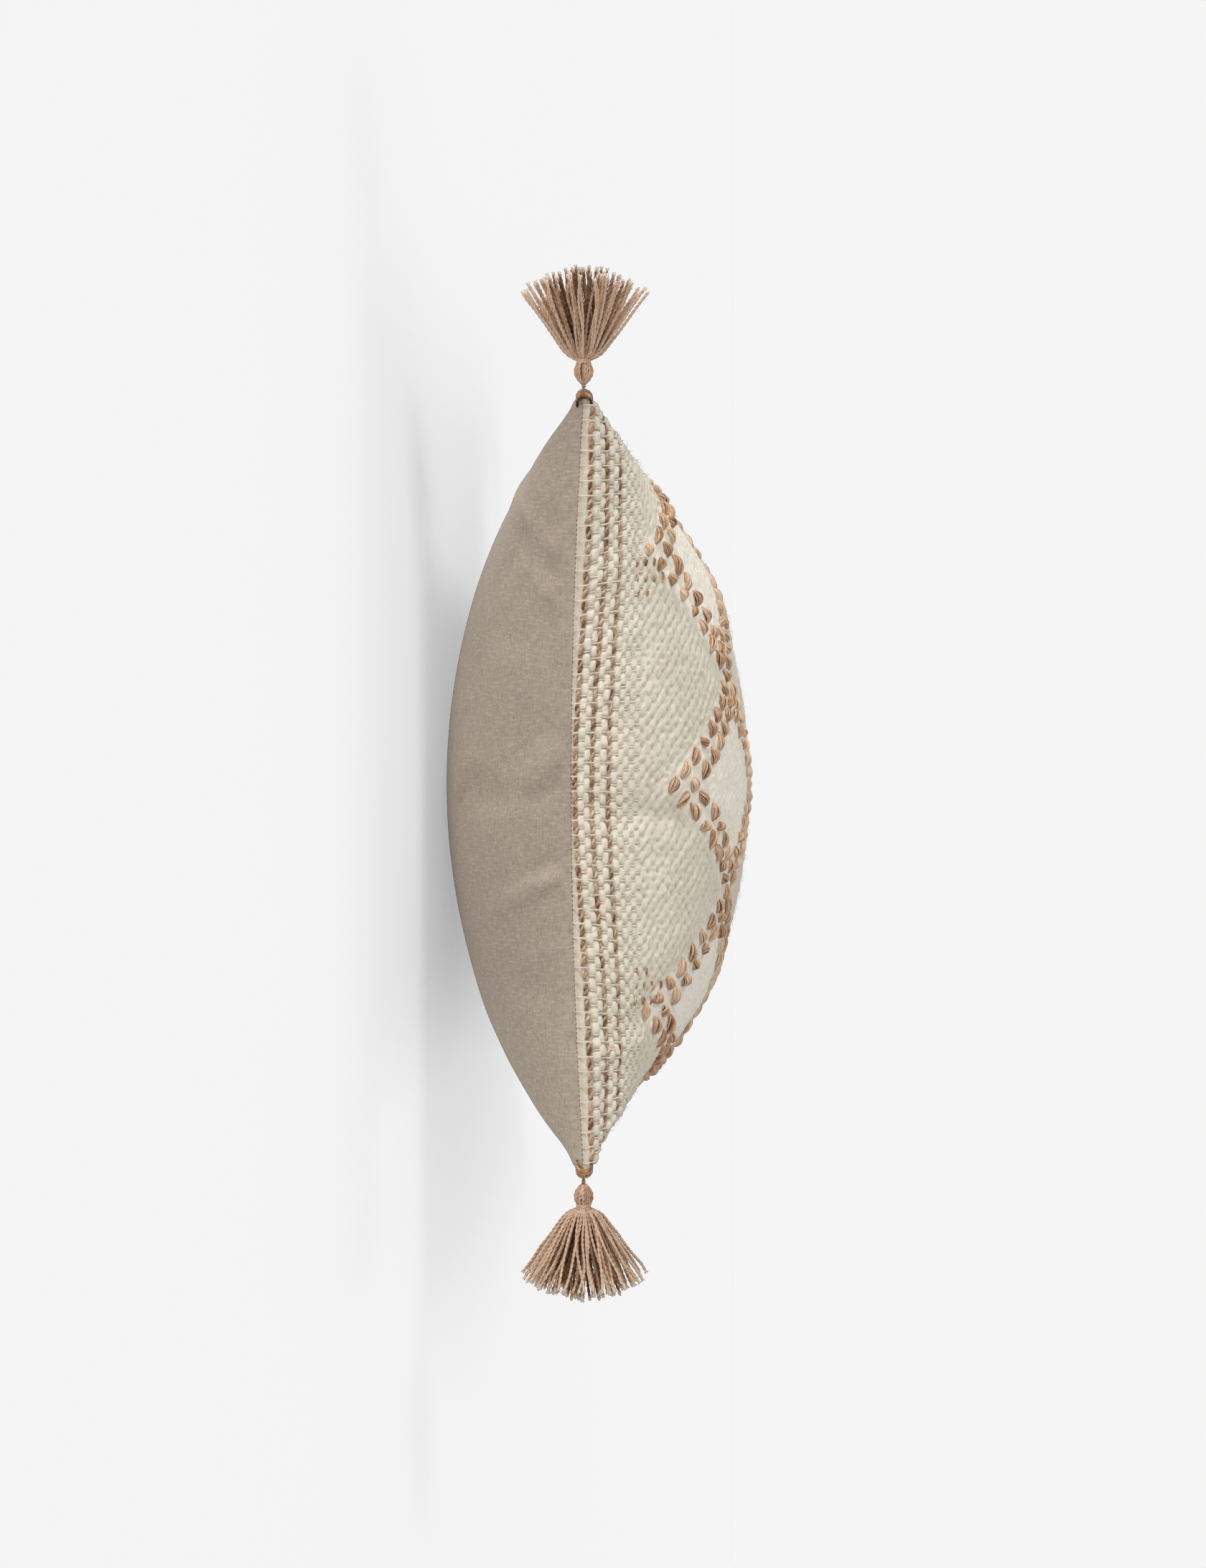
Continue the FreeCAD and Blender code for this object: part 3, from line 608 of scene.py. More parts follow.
def patch_places():
    """Small groups of running stitches just inside the outer tips of four diamonds."""
    x, y = [], []
    for side in (-1, 1):
        for end in (-1, 1):
            for column in range(4):
                for row in range(3 if column < 2 else 2):
                    x.append(side * (2 * DIAMOND_WIDE + 11 * MM - column * 2 * COLUMN_PITCH))
                    y.append(end * (2 * DIAMOND_TALL - 8 * MM - row * STITCH_PITCH))
    x, y = np.array(x), np.array(y)
    return x * motif_spread(y), y


def crossing_threads(material):
    """The thin pale weft threads that cross between the stitches, near the side seams."""
    x, y = [], []
    per_side = int(PANEL_HALF / STITCH_PITCH)
    for inward in range(0, 12):
        column = SIDE_COLUMNS - inward
        for row in range(-per_side, per_side):
            x.append(column * COLUMN_PITCH)
            y.append((row + 0.5 - wave_phase(np.array(column))) * STITCH_PITCH)
    x, y = np.array(x), np.array(y)
    keep = np.abs(y) < PANEL_HALF - 6 * MM
    x, y = np.concatenate([x[keep], -x[keep]]), np.concatenate([y[keep], y[keep]])
    count = len(x)
    turn = math.pi / 2 + random.normal(0, 0.06, count)
    length = random.uniform(4.6, 5.8, count) * MM
    paths = yarn_paths(x, y, turn, length, rise=1.7 * MM, sink=-0.3 * MM, rings=7)
    radii = random.uniform(0.34, 0.48, (count, 1)) * MM
    add_yarns("weft_threads", paths, radii, material, tone=random.uniform(0, 1, count), slot="wool")


def tuft_places():
    """Evenly spaced places along the two outlines of every diamond, stretched with the cloth."""
    places = {}
    for centre_x, centre_y in DIAMONDS:
        for inset in (0, DIAMOND_INSET):
            wide = DIAMOND_WIDE - inset
            tall = DIAMOND_TALL * wide / DIAMOND_WIDE
            corners = [(wide, 0), (0, tall), (-wide, 0), (0, -tall)]
            count = round(math.hypot(wide, tall) / TUFT_PITCH)
            for (x0, y0), (x1, y1) in zip(corners, corners[1:] + corners[:1]):
                for n in range(count):
                    x = centre_x + x0 + n / count * (x1 - x0)
                    y = centre_y + y0 + n / count * (y1 - y0)
                    places[round(x / MM), round(y / MM)] = (x * motif_spread(y), y)
    return np.array(list(places.values())).T


def tuft(x, y):
    """The fibres of one tuft: a loose leaf-shaped bundle, or a rounder knot, flatter on the crown."""
    knot = random.uniform() < 0.3
    fibres, rings = 15, 10
    long = random.uniform(7.0, 8.5) if knot else random.uniform(9.5, 14)
    wide = random.uniform(2.6, 3.2) if knot else random.uniform(2.1, 2.9)
    high = random.uniform(2.3, 3.0) * (1 - 0.4 * on_crown(x))
    heading = random.normal(0, 0.6 if knot else 0.3)
    twist = random.choice([-1, 1]) * (random.uniform(1.5, 3.0) if knot else random.uniform(0.3, 1.6))
    share = np.linspace(0, 1, rings)[None]
    around = (np.arange(fibres) / fibres * 2 * math.pi + random.uniform(0, 6))[:, None]
    turn = around + twist * (share - 0.5) + random.normal(0, 0.16, (fibres, 1))
    swell = np.sin(math.pi * (0.06 + 0.88 * share)) ** 0.75 * random.uniform(0.72, 1.08, (fibres, 1))
    sideways = wide * swell * np.cos(turn)
    proud = high * (0.9 * np.sin(math.pi * share) ** 0.6 + np.sin(turn) * swell)
    forward = (share - 0.5) * long
    px = x + (math.sin(heading) * forward + math.cos(heading) * sideways) * MM
    py = y + (math.cos(heading) * forward - math.sin(heading) * sideways) * MM
    return px, py, proud * MM


def on_crown(x):
    """1 at the middle of the front and 0 near its sides."""
    return 1 - ramp((np.abs(x) - 30 * MM) / (70 * MM))


def motif_tufts(material):
    """All the tufts, a quarter of the motif at a time, each with a dark core between its fibres: painted
    shade.
    """
    x, y = tuft_places()
    quarter = 2 * (x > -1 * MM) + (y > -1 * MM)
    sides, shade_core_sides = 6, 8
    for number in range(4):
        chosen = quarter == number
        grown = [tuft(*place) for place in zip(x[chosen], y[chosen])]
        px, py, proud = [np.concatenate(parts) for parts in zip(*grown)]
        point, normal = on_front(px, py)
        paths = point + normal * (proud + 0.9 * MM)[..., None]
        ends = np.sin(math.pi * np.linspace(0.05, 0.95, paths.shape[1])) ** 0.3
        radius = random.uniform(0.42, 0.68, (len(paths), 1)) * MM * ends
        count = len(grown)
        # A dark tube inside each tuft stands for the shade between its fibres: painted shade.
        shade_cores = paths.reshape(count, -1, *paths.shape[1:]).mean(axis=1)
        shade_core_radius = 1.8 * MM * np.sin(math.pi * np.linspace(0.03, 0.97, paths.shape[1]))
        points, quads = join(tubes(paths, radius, sides), tubes(shade_cores, shade_core_radius, shade_core_sides))
        fibres = len(paths) // count
        shared = 0.2 + random.uniform(0, 0.45, count) + 0.4 * on_crown(x[chosen])
        tone = np.repeat(shared, fibres) + random.uniform(-0.1, 0.55, len(paths))
        tone = np.concatenate([each_point(tone, paths, sides), each_point([0], shade_cores, shade_core_sides)])
        add_piece(
            f"tufts_{number + 1}",
            points,
            quads,
            material,
            stands_for=["motif_tufts"],
            slot="jute_yarn",
            tone=tone,
        )


def wool_fuzz(material):
    """Fine loose fibres that stand out of the wool."""
    count, rings = 9000, 4
    x, y = random.uniform(-0.985, 0.985, (2, count)) * PANEL_HALF
    dense = motif_place(x, y) < 1.3
    keep = dense | (random.uniform(0, 1, count) < 0.5)
    x, y = x[keep], y[keep]
    heading = random.uniform(0, 2 * math.pi, len(x))
    long = random.uniform(3, 8, len(x)) * MM
    share = np.linspace(0, 1, rings)
    bend = random.normal(0, 0.6, len(x))
    angle = heading[:, None] + bend[:, None] * share
    px = x[:, None] + np.sin(angle) * long[:, None] * share
    py = y[:, None] + np.cos(angle) * long[:, None] * share
    point, normal = on_front(px, py)
    high = random.uniform(0.3, 3.6, (len(x), 1)) * MM * share[None] + 1.3 * MM
    paths = point + normal * high[..., None]
    radii = np.array([0.07, 0.06, 0.05, 0.02]) * MM
    tone = random.uniform(0, 1, len(paths))
    add_yarns("wool_fuzz", paths, radii, material, sides=4, tone=tone, slot="wool")


# --- The linen back, the seam and the insert ---


def linen_back(material):
    """The back as one fine grid with its folds."""
    steps = np.linspace(-1, 1, 309)
    s, t = np.meshgrid(steps, steps, indexing="ij")
    point, normal = cover_frame(-1, s, t)
    free = open_for_zip(-1, point, t)
    point = point - normal * (seam_groove(s, t) * free)[..., None]
    point[..., 2] = np.maximum(point[..., 2], 0)
    add_cover_cloth(
        "linen_back",
        -1,
        point,
        material,
        node="back_panel",
        slot="linen",
        pad="edge",
        across=s * PANEL_HALF,
        along=t * PANEL_HALF,
    )


def thread_stitches(half_row, pitch, long):
    """Places along a row of small stitches, and how high each stands, from 0 to 1."""
    count = int(2 * half_row / pitch)
    middles = (np.arange(count) - (count - 1) / 2) * pitch
    share = np.linspace(-0.5, 0.5, 5)
    return middles[:, None] + share * long, (1 - (2 * share) ** 2)[:, None]


def seam_thread(material):
    """Small dark stitches that pull the two panels together."""
    reach, arch = thread_stitches(PANEL_HALF - 6 * MM, pitch=3.1 * MM, long=2.3 * MM)
    reach = reach / PANEL_HALF
    edge = np.ones_like(reach)
    paths = []
    for s, t in ((-edge, reach), (edge, reach), (reach, edge)):
        point, normal = cover_frame(1, s, t)
        paths.append(point + normal * (arch * 0.7 - 0.5) * MM)
    options = {"stands_for": ["seam_stitches"], "slot": "sewing_thread"}
    add_yarns("seam_thread", np.concatenate(paths), 0.2 * MM, material, sides=4, **options)


def insert(casing, filling):
    """The stuffed insert inside the cover: its casing in two halves, and its filling."""
    steps = np.linspace(-1, 1, 97)
    s, t = np.meshgrid(steps, steps, indexing="ij")
    for node, side, inset in (("insert_cover_front", 1, 9), ("insert_cover_back", -1, 7)):
        point = face(side, s, t, inset * MM) + 0.5 * smooth_sample(FOLDS[side], s, t)
        quads = grid_quads(*s.shape, flip=side < 0)
        piece = add_piece(node + "_cloth", point, quads, casing, stands_for=[node], slot="cotton_casing")
    lumps = soft_noise(38 * MM, 1.0)
    halves = []
    for side in (1, -1):
        point = face(side, s, t, 15 * MM)
        height = 1.8 * MM * smooth_sample(lumps, s, t) * ramp(edge_distance(s, t) / (40 * MM))
        point[..., 2] -= side * np.abs(height)
        halves.append((point.reshape(-1, 3), grid_quads(*s.shape, flip=side < 0)))
    piece = add_piece("loose_filling", *join(*halves), filling, stands_for=["insert_fill"], slot="filling")


# --- The zip ---


def zip_coils(material):
    """Each coil as a wound and flattened thread of nylon, its loops meeting the other's."""
    pitch, per_turn, end = 1.5 * MM, 10, 0.5 * MM
    for node, side in (("zipper_coil_front", 1), ("zipper_coil_back", -1)):
        low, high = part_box(node)
        turns = int((high.x - low.x) / pitch)
        turn = np.linspace(0, turns * 2 * math.pi, turns * per_turn + 1)
        x = np.linspace(low.x + end, high.x - end, len(turn)) + 0.25 * pitch * side
        middle = (low + high) / 2
        y = middle.y + 0.8 * MM * np.sin(turn)
        z = middle.z + 1.0 * MM * np.cos(turn) - side * 0.15 * MM
        path = np.stack([x, y, z], -1)[None]
        add_yarns(node + "_teeth", path, 0.3 * MM, material, stands_for=[node], slot="zip_coil")


def finish_cad_nodes(materials):
    """The CAD pieces that stay: their edges eased, and each with its own material."""
    for node, (material, ease) in materials.items():
        piece = frame["nodes"][node]
        piece.data.materials.clear()
        piece.data.materials.append(material)
        bevel = piece.modifiers.new("eased_edges", "BEVEL")
        bevel.width = ease * MM
        bevel.segments = 2
        bevel.limit_method = "ANGLE"
        bevel.harden_normals = False


def zip_topstitch(material):
    """A row of stitches through the cover beside the zip, on both panels."""
    reach, arch = thread_stitches(ZIP_END, pitch=3.4 * MM, long=2.6 * MM)
    s = reach / CORNER_HALF
    t = np.full_like(s, -1 + (ZIP_HALF * 0.95 + 4.5 * MM) / PANEL_HALF)
    paths = []
    for side, over_cloth in ((1, 1.2), (-1, 0)):
        point, normal = cover_frame(side, s, t)
        open_for_zip(side, point, t)
        paths.append(point + normal * (arch * 0.5 + over_cloth) * MM)
    add_yarns("zip_topstitch", np.concatenate(paths), 0.3 * MM, material, sides=4, slot="sewing_thread")


# --- The corner tassels ---
# Each is made along its own axis, in a frame whose Z runs from the eye of its cord to its
# strands and whose X is the pillow's Z.

JOINTS = {joint["name"]: joint for joint in frame["joints"]}
CORNERS = ("left_top", "left_bottom", "right_bottom", "right_top")


def tassel_frame(corner):
    """The eye of a tassel's cord and the three axes of the tassel's own frame."""
    eye = np.array(JOINTS["tassel_swing_" + corner]["pos_m"])
    knot = np.array(JOINTS["tassel_droop_" + corner]["pos_m"])
    ahead = unit(knot - eye)
    up = np.array([0.0, 0.0, 1.0])
    return eye, np.stack([up, np.cross(ahead, up), ahead])


def placed(paths, corner):
    """Paths of a tassel's own frame, in the pillow's."""
    eye, axes = tassel_frame(corner)
    return eye + paths @ axes


TASSEL_NODES = {"strands": "tassel_skirt_", "head": "tassel_head_", "wrap": "tassel_wrap_", "knot": "cord_"}


def add_tassel_piece(part, corner, mesh, material, tone, tip=0.0):
    """One of a tassel's pieces. The knot rides on the cord, and the others on the tassel."""
    blank = np.zeros(len(mesh[0]))
    add_piece(
        f"{part}_{corner}",
        *mesh,
        material,
        stands_for=[TASSEL_NODES[part] + corner],
        body=("cord_" if part == "knot" else "tassel_") + corner,
        slot="tassel_yarn",
        tone=blank + tone,
        tip=blank + tip,
    )


HEAD_START, HEAD_RADIUS = 4.2 * MM, 6.0 * MM
WRAP_START, WRAP_TALL = 16 * MM, 3.4 * MM
NECK_RADIUS, WRAP_RADIUS = 3.2 * MM, 4.95 * MM
SKIRT_LONG, SHOULDER_OUT, SHOULDER_DOWN = 57 * MM, 5.8 * MM, 1.6 * MM
SKIRT_SLOPE = 0.76  # how fast the outermost strands run outwards
STRAND_RADIUS = 0.86 * MM


def skirt_paths(count, rings):
    """Strands that leave the wrap, bend over it and run out straight to a rounded fan.

    Also gives how far out each strand lies, from 0 on the tassel's axis to 1."""
    order = (np.arange(count) + 0.5) / count
    outer = (order**0.46 * random.uniform(0.93, 1.03, count))[:, None]
    golden = math.pi * (3 - math.sqrt(5))
    around = np.arange(count) * golden + random.normal(0, 0.12, count)
    tilt = np.arctan(outer * (SKIRT_SLOPE + 0.2))
    share = np.linspace(0, 1, rings)[None]
    reach = SKIRT_LONG * random.uniform(0.94, 1.0, (count, 1)) * np.cos(tilt)
    down = reach * share**1.35
    shoulder = SHOULDER_OUT * (1 - np.exp(-down / SHOULDER_DOWN))
    out = outer * (NECK_RADIUS + shoulder + SKIRT_SLOPE * down)

    waves = random.uniform(0.7, 1.5, (count, 1))
    phase = random.uniform(0, 2 * math.pi, (count, 2))
    wander = random.uniform(0.3, 2.2, (count, 1)) * MM * share**1.5
    side_way = wander * np.sin(share * waves * 2 * math.pi + phase[:, :1])
    out = out - np.abs(wander * 0.8 * np.sin(share * waves * 2 * math.pi + phase[:, 1:]))
    bunched = 0.09 * np.sin(9 * around)[:, None] + random.normal(0, 0.10, (count, 1))
    turn = around[:, None] + bunched * share**1.3
    x = out * np.cos(turn) - side_way * np.sin(turn)
    y = out * np.sin(turn) + side_way * np.cos(turn)
    return np.stack([x, y, down + WRAP_START + WRAP_TALL], -1), outer[:, 0]


def tassel_skirt(corner, material):
    """The skirt's strands, each of two plies that open a little at the cut end, the inner ones darker as
    painted shade.
    """
    paths, outer = skirt_paths(count=138, rings=44)
    wound, radius = two_ply(paths, STRAND_RADIUS, pitch=6.5 * MM)
    share = np.linspace(0, 1, paths.shape[1])
    centre = np.repeat(paths, 2, axis=0)
    fray = 1 + 1.1 * ramp((share - 0.955) / 0.045)
    wound = centre + (wound - centre) * fray[:, None]
    taper = 1 - 0.35 * ramp((share - 0.97) / 0.03)
    sides = 4
    # Strands nearer the axis get a darker tone: painted shade inside the skirt, where the outer strands
    # shadow them.
    tone = np.repeat(np.clip(2.4 * (outer - 0.55), 0, 0.8) + random.uniform(0, 0.3, len(paths)), 2)
    tone = each_point(tone, wound, sides)
    tip = each_point(ramp((share - 0.93) / 0.07)[None], wound, sides)
    mesh = tubes(placed(wound, corner), radius * taper, sides)
    add_tassel_piece("strands", corner, mesh, material, tone, tip)


def round_axis(out, turn, down):
    """Places so far out from a tassel's axis, turned round it, and so far down it."""
    return np.stack(np.broadcast_arrays(out * np.cos(turn), out * np.sin(turn), down), -1)


def head_out(along):
    """The head's radius at a share of its length: an egg, narrow at the cord and at the neck."""
    return HEAD_RADIUS * np.sin(math.pi * (0.06 + 0.80 * along)) ** 0.72


def tassel_head(corner, material):
    """Strands laid lengthwise over a dark core, painted shade that shows between them, and gathered at both
    ends.
    """
    count, rings, sides, shade_core_sides = 19, 22, 6, 16
    share = np.linspace(0, 1, rings)[None]
    around = (np.arange(count) / count * 2 * math.pi)[:, None] + random.normal(0, 0.05, (count, 1))
    slant = random.normal(0.12, 0.10, (count, 1)) * (share - 0.5)
    radius = 0.86 * MM
    out = np.maximum(head_out(share) - radius, 0.7 * MM)
    down = HEAD_START + 0.5 * MM + share * (WRAP_START + 1.2 * MM - HEAD_START)
    turn = around + slant
    paths = round_axis(out, turn, down)
    wound, ply = two_ply(paths, radius, pitch=6 * MM)
    shade_core_path = round_axis(0, 0, down)
    shade_core_out = np.maximum(out - 0.3 * MM, 0.4 * MM)
    mesh = join(
        tubes(placed(wound, corner), ply, sides),
        tubes(placed(shade_core_path, corner), shade_core_out, shade_core_sides),
    )
    tone = np.repeat(random.uniform(0.45, 1, count), 2)
    # The core gets the darkest tone: painted shade between the strands.
    tone = np.concatenate([each_point(tone, wound, sides), each_point([0], shade_core_path, shade_core_sides)])
    add_tassel_piece("head", corner, mesh, material, tone)


def tassel_wrap(corner, material):
    """Turns of thread wound tightly round the neck, and one end carried across them."""
    turns, per_turn = 4.6, 20
    share = np.linspace(0, 1, int(turns * per_turn))
    turn = share * turns * 2 * math.pi
    thread = 0.52 * MM
    out = WRAP_RADIUS - 2 * thread + 0.25 * MM * np.sin(share * 9)
    down = WRAP_START + 0.3 * MM + share * (WRAP_TALL - 0.5 * MM)
    winding = round_axis(out, turn, down)[None]
    across = WRAP_START + WRAP_TALL * (0.15 + 0.7 * share)
    end = round_axis(WRAP_RADIUS - thread, 0.4 + 2.2 * share, across)[None]
    neck = round_axis(0, 0, WRAP_START + WRAP_TALL * share)[None]
    mesh = join(
        tubes(placed(winding, corner), thread),
        tubes(placed(end, corner), thread * 0.8),
        tubes(placed(neck, corner), WRAP_RADIUS - 2.2 * thread, 16),
    )
    add_tassel_piece("wrap", corner, mesh, material, 0.95)


def hanging_cord(corner, material):
    """Two strands that go round the corner's loops and are knotted over the head."""
    turn = np.linspace(0, 2 * math.pi, 25)
    paths = []
    for aside in (-0.5, 0.5):
        ring = np.stack([0 * turn + aside, 1.42 * np.sin(turn), -1.42 * np.cos(turn)], -1) * MM
        paths.append(ring)
    stem = np.linspace(0, 1, 25)
    for lean in (-1, 1):
        path = np.stack([0.5 * lean * (1 - stem), 0.4 * np.sin(stem * 5 + lean), 1.3 + 2.9 * stem], -1) * MM
        paths.append(path)
    knot = np.stack([0.9 * np.cos(2 * turn), 0.9 * np.sin(2 * turn), 2.9 + 0.4 * np.sin(turn)], -1) * MM
    paths.append(knot)
    wound, ply = two_ply(np.stack(paths), 0.45 * MM, pitch=2.6 * MM)
    add_tassel_piece("knot", corner, tubes(placed(wound, corner), ply), material, 0.5)


def corner_loop(corner, material):
    """Six cords side by side over the corner tip, the outer ones dark at the upper corners, and all darker
    towards their ends as painted shade where they go into the seam.
    """
    eye = np.array(JOINTS["tassel_swing_" + corner]["pos_m"])
    outward = unit(np.array([eye[0], eye[1], 0.0]))
    up = np.array([0.0, 0.0, 1.0])
    sideways = np.cross(outward, up)
    bend = 4.4 * MM
    run = np.linspace(-1, 1, 31)
    quarter = bend * math.pi / 2
    paths, tones = [], []
    dark = 0.25 if corner.endswith("top") else 0.8
    cords = ((-3.4, dark, 2.5), (-2.5, 0.7, 7), (-1.5, 0.9, 6), (1.5, 0.8, 6), (2.5, 0.6, 7), (3.4, dark, 3))
    for place, tone, leg in cords:
        distance = run * (quarter + leg * MM)
        on_bend = np.clip(distance / bend, -math.pi / 2, math.pi / 2)
        extra = np.maximum(np.abs(distance) - quarter, 0)
        out = bend * np.cos(on_bend) - bend - extra
        over = bend * np.sin(on_bend)
        drop = (0.20 * place * place + 0.25) * MM
        aside = place * MM * (1 + 0.25 * np.sin(run * 2.2 + place)) * (1 - 0.25 * np.abs(run))
        path = eye + np.outer(out - drop, outward) + np.outer(over, up) + np.outer(aside, sideways)
        paths.append(path)
        tones.append(tone)
    wound, ply = two_ply(np.stack(paths), 0.85 * MM, pitch=4.5 * MM)
    # Each cord darkens towards its ends, where it goes into the cover: painted shade.
    tone = np.repeat(tones, 2)[:, None] * ramp(1.35 - np.abs(run))
    options = {"stands_for": ["loop_" + corner], "slot": "striped_cord"}
    add_yarns("cords_" + corner, wound, ply, material, tone=tone, **options)


# --- Materials ---


def srgb(red, green, blue):
    """A colour given as 0 to 255 for the screen, as the shader's linear numbers."""
    shares = (red / 255, green / 255, blue / 255)
    return (*[c / 12.92 if c <= 0.04 else ((c + 0.055) / 1.055) ** 2.4 for c in shares], 1.0)


class Shader:
    """A new material, and short ways to add nodes to it and link them."""

    def __init__(self, name, roughness, sheen=0.0, metallic=0.0):
        self.material = bpy.data.materials.new(name)
        self.material.use_nodes = True
        self.tree = self.material.node_tree
        self.surface = self.tree.nodes["Principled BSDF"]
        self.set(self.surface, {"Roughness": roughness, "Metallic": metallic, "Sheen Weight": sheen})
        self.set(self.surface, {"Sheen Roughness": 0.5, "Specular IOR Level": 0.5 if metallic else 0.15})
        self.places = self.add("ShaderNodeTexCoord").outputs["Object"]

    def set(self, node, inputs):
        """Gives a node's inputs their numbers and colours, or links other nodes to them."""
        for key, value in inputs.items():
            if isinstance(value, (int, float, tuple)):
                node.inputs[key].default_value = value
            elif value is not None:
                self.tree.links.new(value, node.inputs[key])

    def add(self, kind, inputs=None, **settings):
        node = self.tree.nodes.new(kind)
        for key, value in settings.items():
            setattr(node, key, value)
        self.set(node, inputs or {})
        return node

    def attribute(self, name):
        return self.add("ShaderNodeAttribute", attribute_name=name).outputs["Fac"]

    def noise(self, scale, detail=3.0, roughness=0.55, places=None):
        inputs = {"Scale": scale, "Detail": detail, "Roughness": roughness, "Vector": places or self.places}
        return self.add("ShaderNodeTexNoise", inputs).outputs["Fac"]

    def stretched(self, x, y, z, places=None):
        inputs = {"Scale": (x, y, z), "Vector": places or self.places}
        return self.add("ShaderNodeMapping", inputs).outputs["Vector"]

    def panel_places(self):
        """The flat panel's own coordinates, so that a pattern follows the cloth."""
        inputs = {"X": self.attribute("across"), "Y": self.attribute("along")}
        return self.add("ShaderNodeCombineXYZ", inputs).outputs["Vector"]

    def math(self, operation, first, second=None, clamp=False):
        inputs = {0: first, 1: second}
        return self.add("ShaderNodeMath", inputs, operation=operation, use_clamp=clamp).outputs["Value"]

    def range(self, value, low, high, to_low=0.0, to_high=1.0):
        inputs = {"Value": value, "From Min": low, "From Max": high, "To Min": to_low, "To Max": to_high}
        return self.add("ShaderNodeMapRange", inputs).outputs["Result"]

    def colours(self, value, *stops):
        """A colour ramp: each stop is its place and its colour."""
        node = self.add("ShaderNodeValToRGB", {"Fac": value})
        elements = node.color_ramp.elements
        while len(elements) < len(stops):
            elements.new(0.5)
        for element, (place, colour) in zip(elements, stops):
            element.position = place
            element.color = colour
        return node.outputs["Color"]

    def mix(self, share, first, second):
        """Two colours mixed: a mix node's inputs 6 and 7 and output 2 are its colours."""
        return self.add("ShaderNodeMix", {0: share, 6: first, 7: second}, data_type="RGBA").outputs[2]

    def bump(self, height, distance, strength=1.0, after=None):
        inputs = {"Height": height, "Distance": distance, "Strength": strength, "Normal": after}
        return self.add("ShaderNodeBump", inputs).outputs["Normal"]

    def finish(self, colour, normal=None):
        self.set(self.surface, {"Base Color": colour, "Normal": normal})
        return self.material


def wool_material():
    """Cream wool: warm and uneven, paler where it is felted, with painted shade in its gaps and in the
    seam's groove, and fibrous.
    """
    s = Shader("wool", 0.95, sheen=0.15)
    fibres = s.noise(1500, 4, 0.65, s.stretched(1, 0.45, 1))
    clouds = s.noise(28, 3)
    flecks = s.noise(420, 2)
    colour = s.colours(clouds, (0.35, srgb(216, 208, 189)), (0.65, srgb(224, 217, 200)))
    colour = s.mix(s.range(fibres, 0.35, 0.75, 0, 0.35), colour, srgb(196, 186, 164))
    colour = s.mix(s.range(flecks, 0.68, 0.78, 0, 0.25), colour, srgb(186, 158, 130))
    colour = s.mix(s.range(s.attribute("felt"), 0.3, 0.84, 0, 0.9), colour, srgb(243, 238, 224))
    # Painted shade: darker in the hollows between the yarns and along the seam.
    colour = s.mix(s.range(s.attribute("gap"), 0.25, 1.0, 0, 0.5), colour, srgb(158, 143, 120))
    return s.finish(colour, s.bump(fibres, 0.5 * MM, 0.55, s.bump(flecks, 0.5 * MM, 0.35)))


def pale_thread_material():
    """The thin weft: whiter and smoother than the warp."""
    s = Shader("pale_thread", 0.8, sheen=0.15)
    twist = s.noise(900, 2)
    colour = s.colours(s.attribute("tone"), (0.0, srgb(208, 197, 180)), (1.0, srgb(226, 217, 204)))
    return s.finish(colour, s.bump(twist, 0.2 * MM, 0.6))


def linen_material():
    """Greige linen: a fine plain weave whose threads vary in thickness and colour, with painted shade in the
    low places between its threads.
    """
    s = Shader("linen", 0.88, sheen=0.12)
    flat = s.panel_places()
    pitch = 0.8 * MM
    wobble = s.noise(90, 2, 0.5, flat)
    cell = s.add("ShaderNodeSeparateXYZ", {"Vector": flat})
    waves = []
    for axis in ("X", "Y"):
        shifted = s.math("ADD", cell.outputs[axis], s.math("MULTIPLY", wobble, 1.2 * MM))
        phase = s.math("MULTIPLY", shifted, 2 * math.pi / pitch)
        waves.append(s.math("SINE", phase))
    threads = s.range(s.math("MULTIPLY", *waves), -1, 1)
    warp_slubs = s.noise(1, 3, 0.7, s.stretched(700, 130, 1, flat))
    weft_slubs = s.noise(1, 3, 0.7, s.stretched(130, 700, 1, flat))
    grain = s.noise(650, 4, 0.8)
    clouds = s.noise(14, 3)
    colour = s.colours(clouds, (0.35, srgb(160, 147, 134)), (0.65, srgb(170, 157, 142)))
    colour = s.mix(s.range(warp_slubs, 0.48, 0.68, 0, 0.6), colour, srgb(128, 114, 101))
    colour = s.mix(s.range(weft_slubs, 0.50, 0.70, 0, 0.6), colour, srgb(200, 188, 170))
    colour = s.mix(s.range(grain, 0.45, 0.7, 0, 0.5), colour, srgb(130, 116, 102))
    # Painted shade: darker where the weave's bump is low, between the threads.
    colour = s.mix(s.range(threads, 0.0, 0.45, 0.30, 0.0), colour, srgb(130, 116, 102))
    slubs = s.math("ADD", warp_slubs, weft_slubs)
    return s.finish(colour, s.bump(threads, 0.25 * MM, 0.5, s.bump(slubs, 0.35 * MM, 0.6)))


def yarn_material(name, stops, roughness=0.75, sheen=0.1, fibre=1300, tip=None):
    """A yarn whose tone attribute picks its colour, with fine fibres and darker streaks."""
    s = Shader(name, roughness, sheen=sheen)
    fibres = s.noise(fibre, 3, 0.6)
    streaks = s.noise(240, 2)
    tone = s.math("ADD", s.attribute("tone"), s.range(streaks, 0.3, 0.7, -0.22, 0.22), clamp=True)
    colour = s.colours(tone, *stops.items())
    colour = s.mix(s.range(fibres, 0.4, 0.75, 0, 0.32), colour, stops[0.0])
    if tip is not None:
        colour = s.mix(s.range(s.attribute("tip"), 0.2, 1.0, 0, 0.8), colour, tip)
    return s.finish(colour, s.bump(fibres, 0.25 * MM, 0.6))


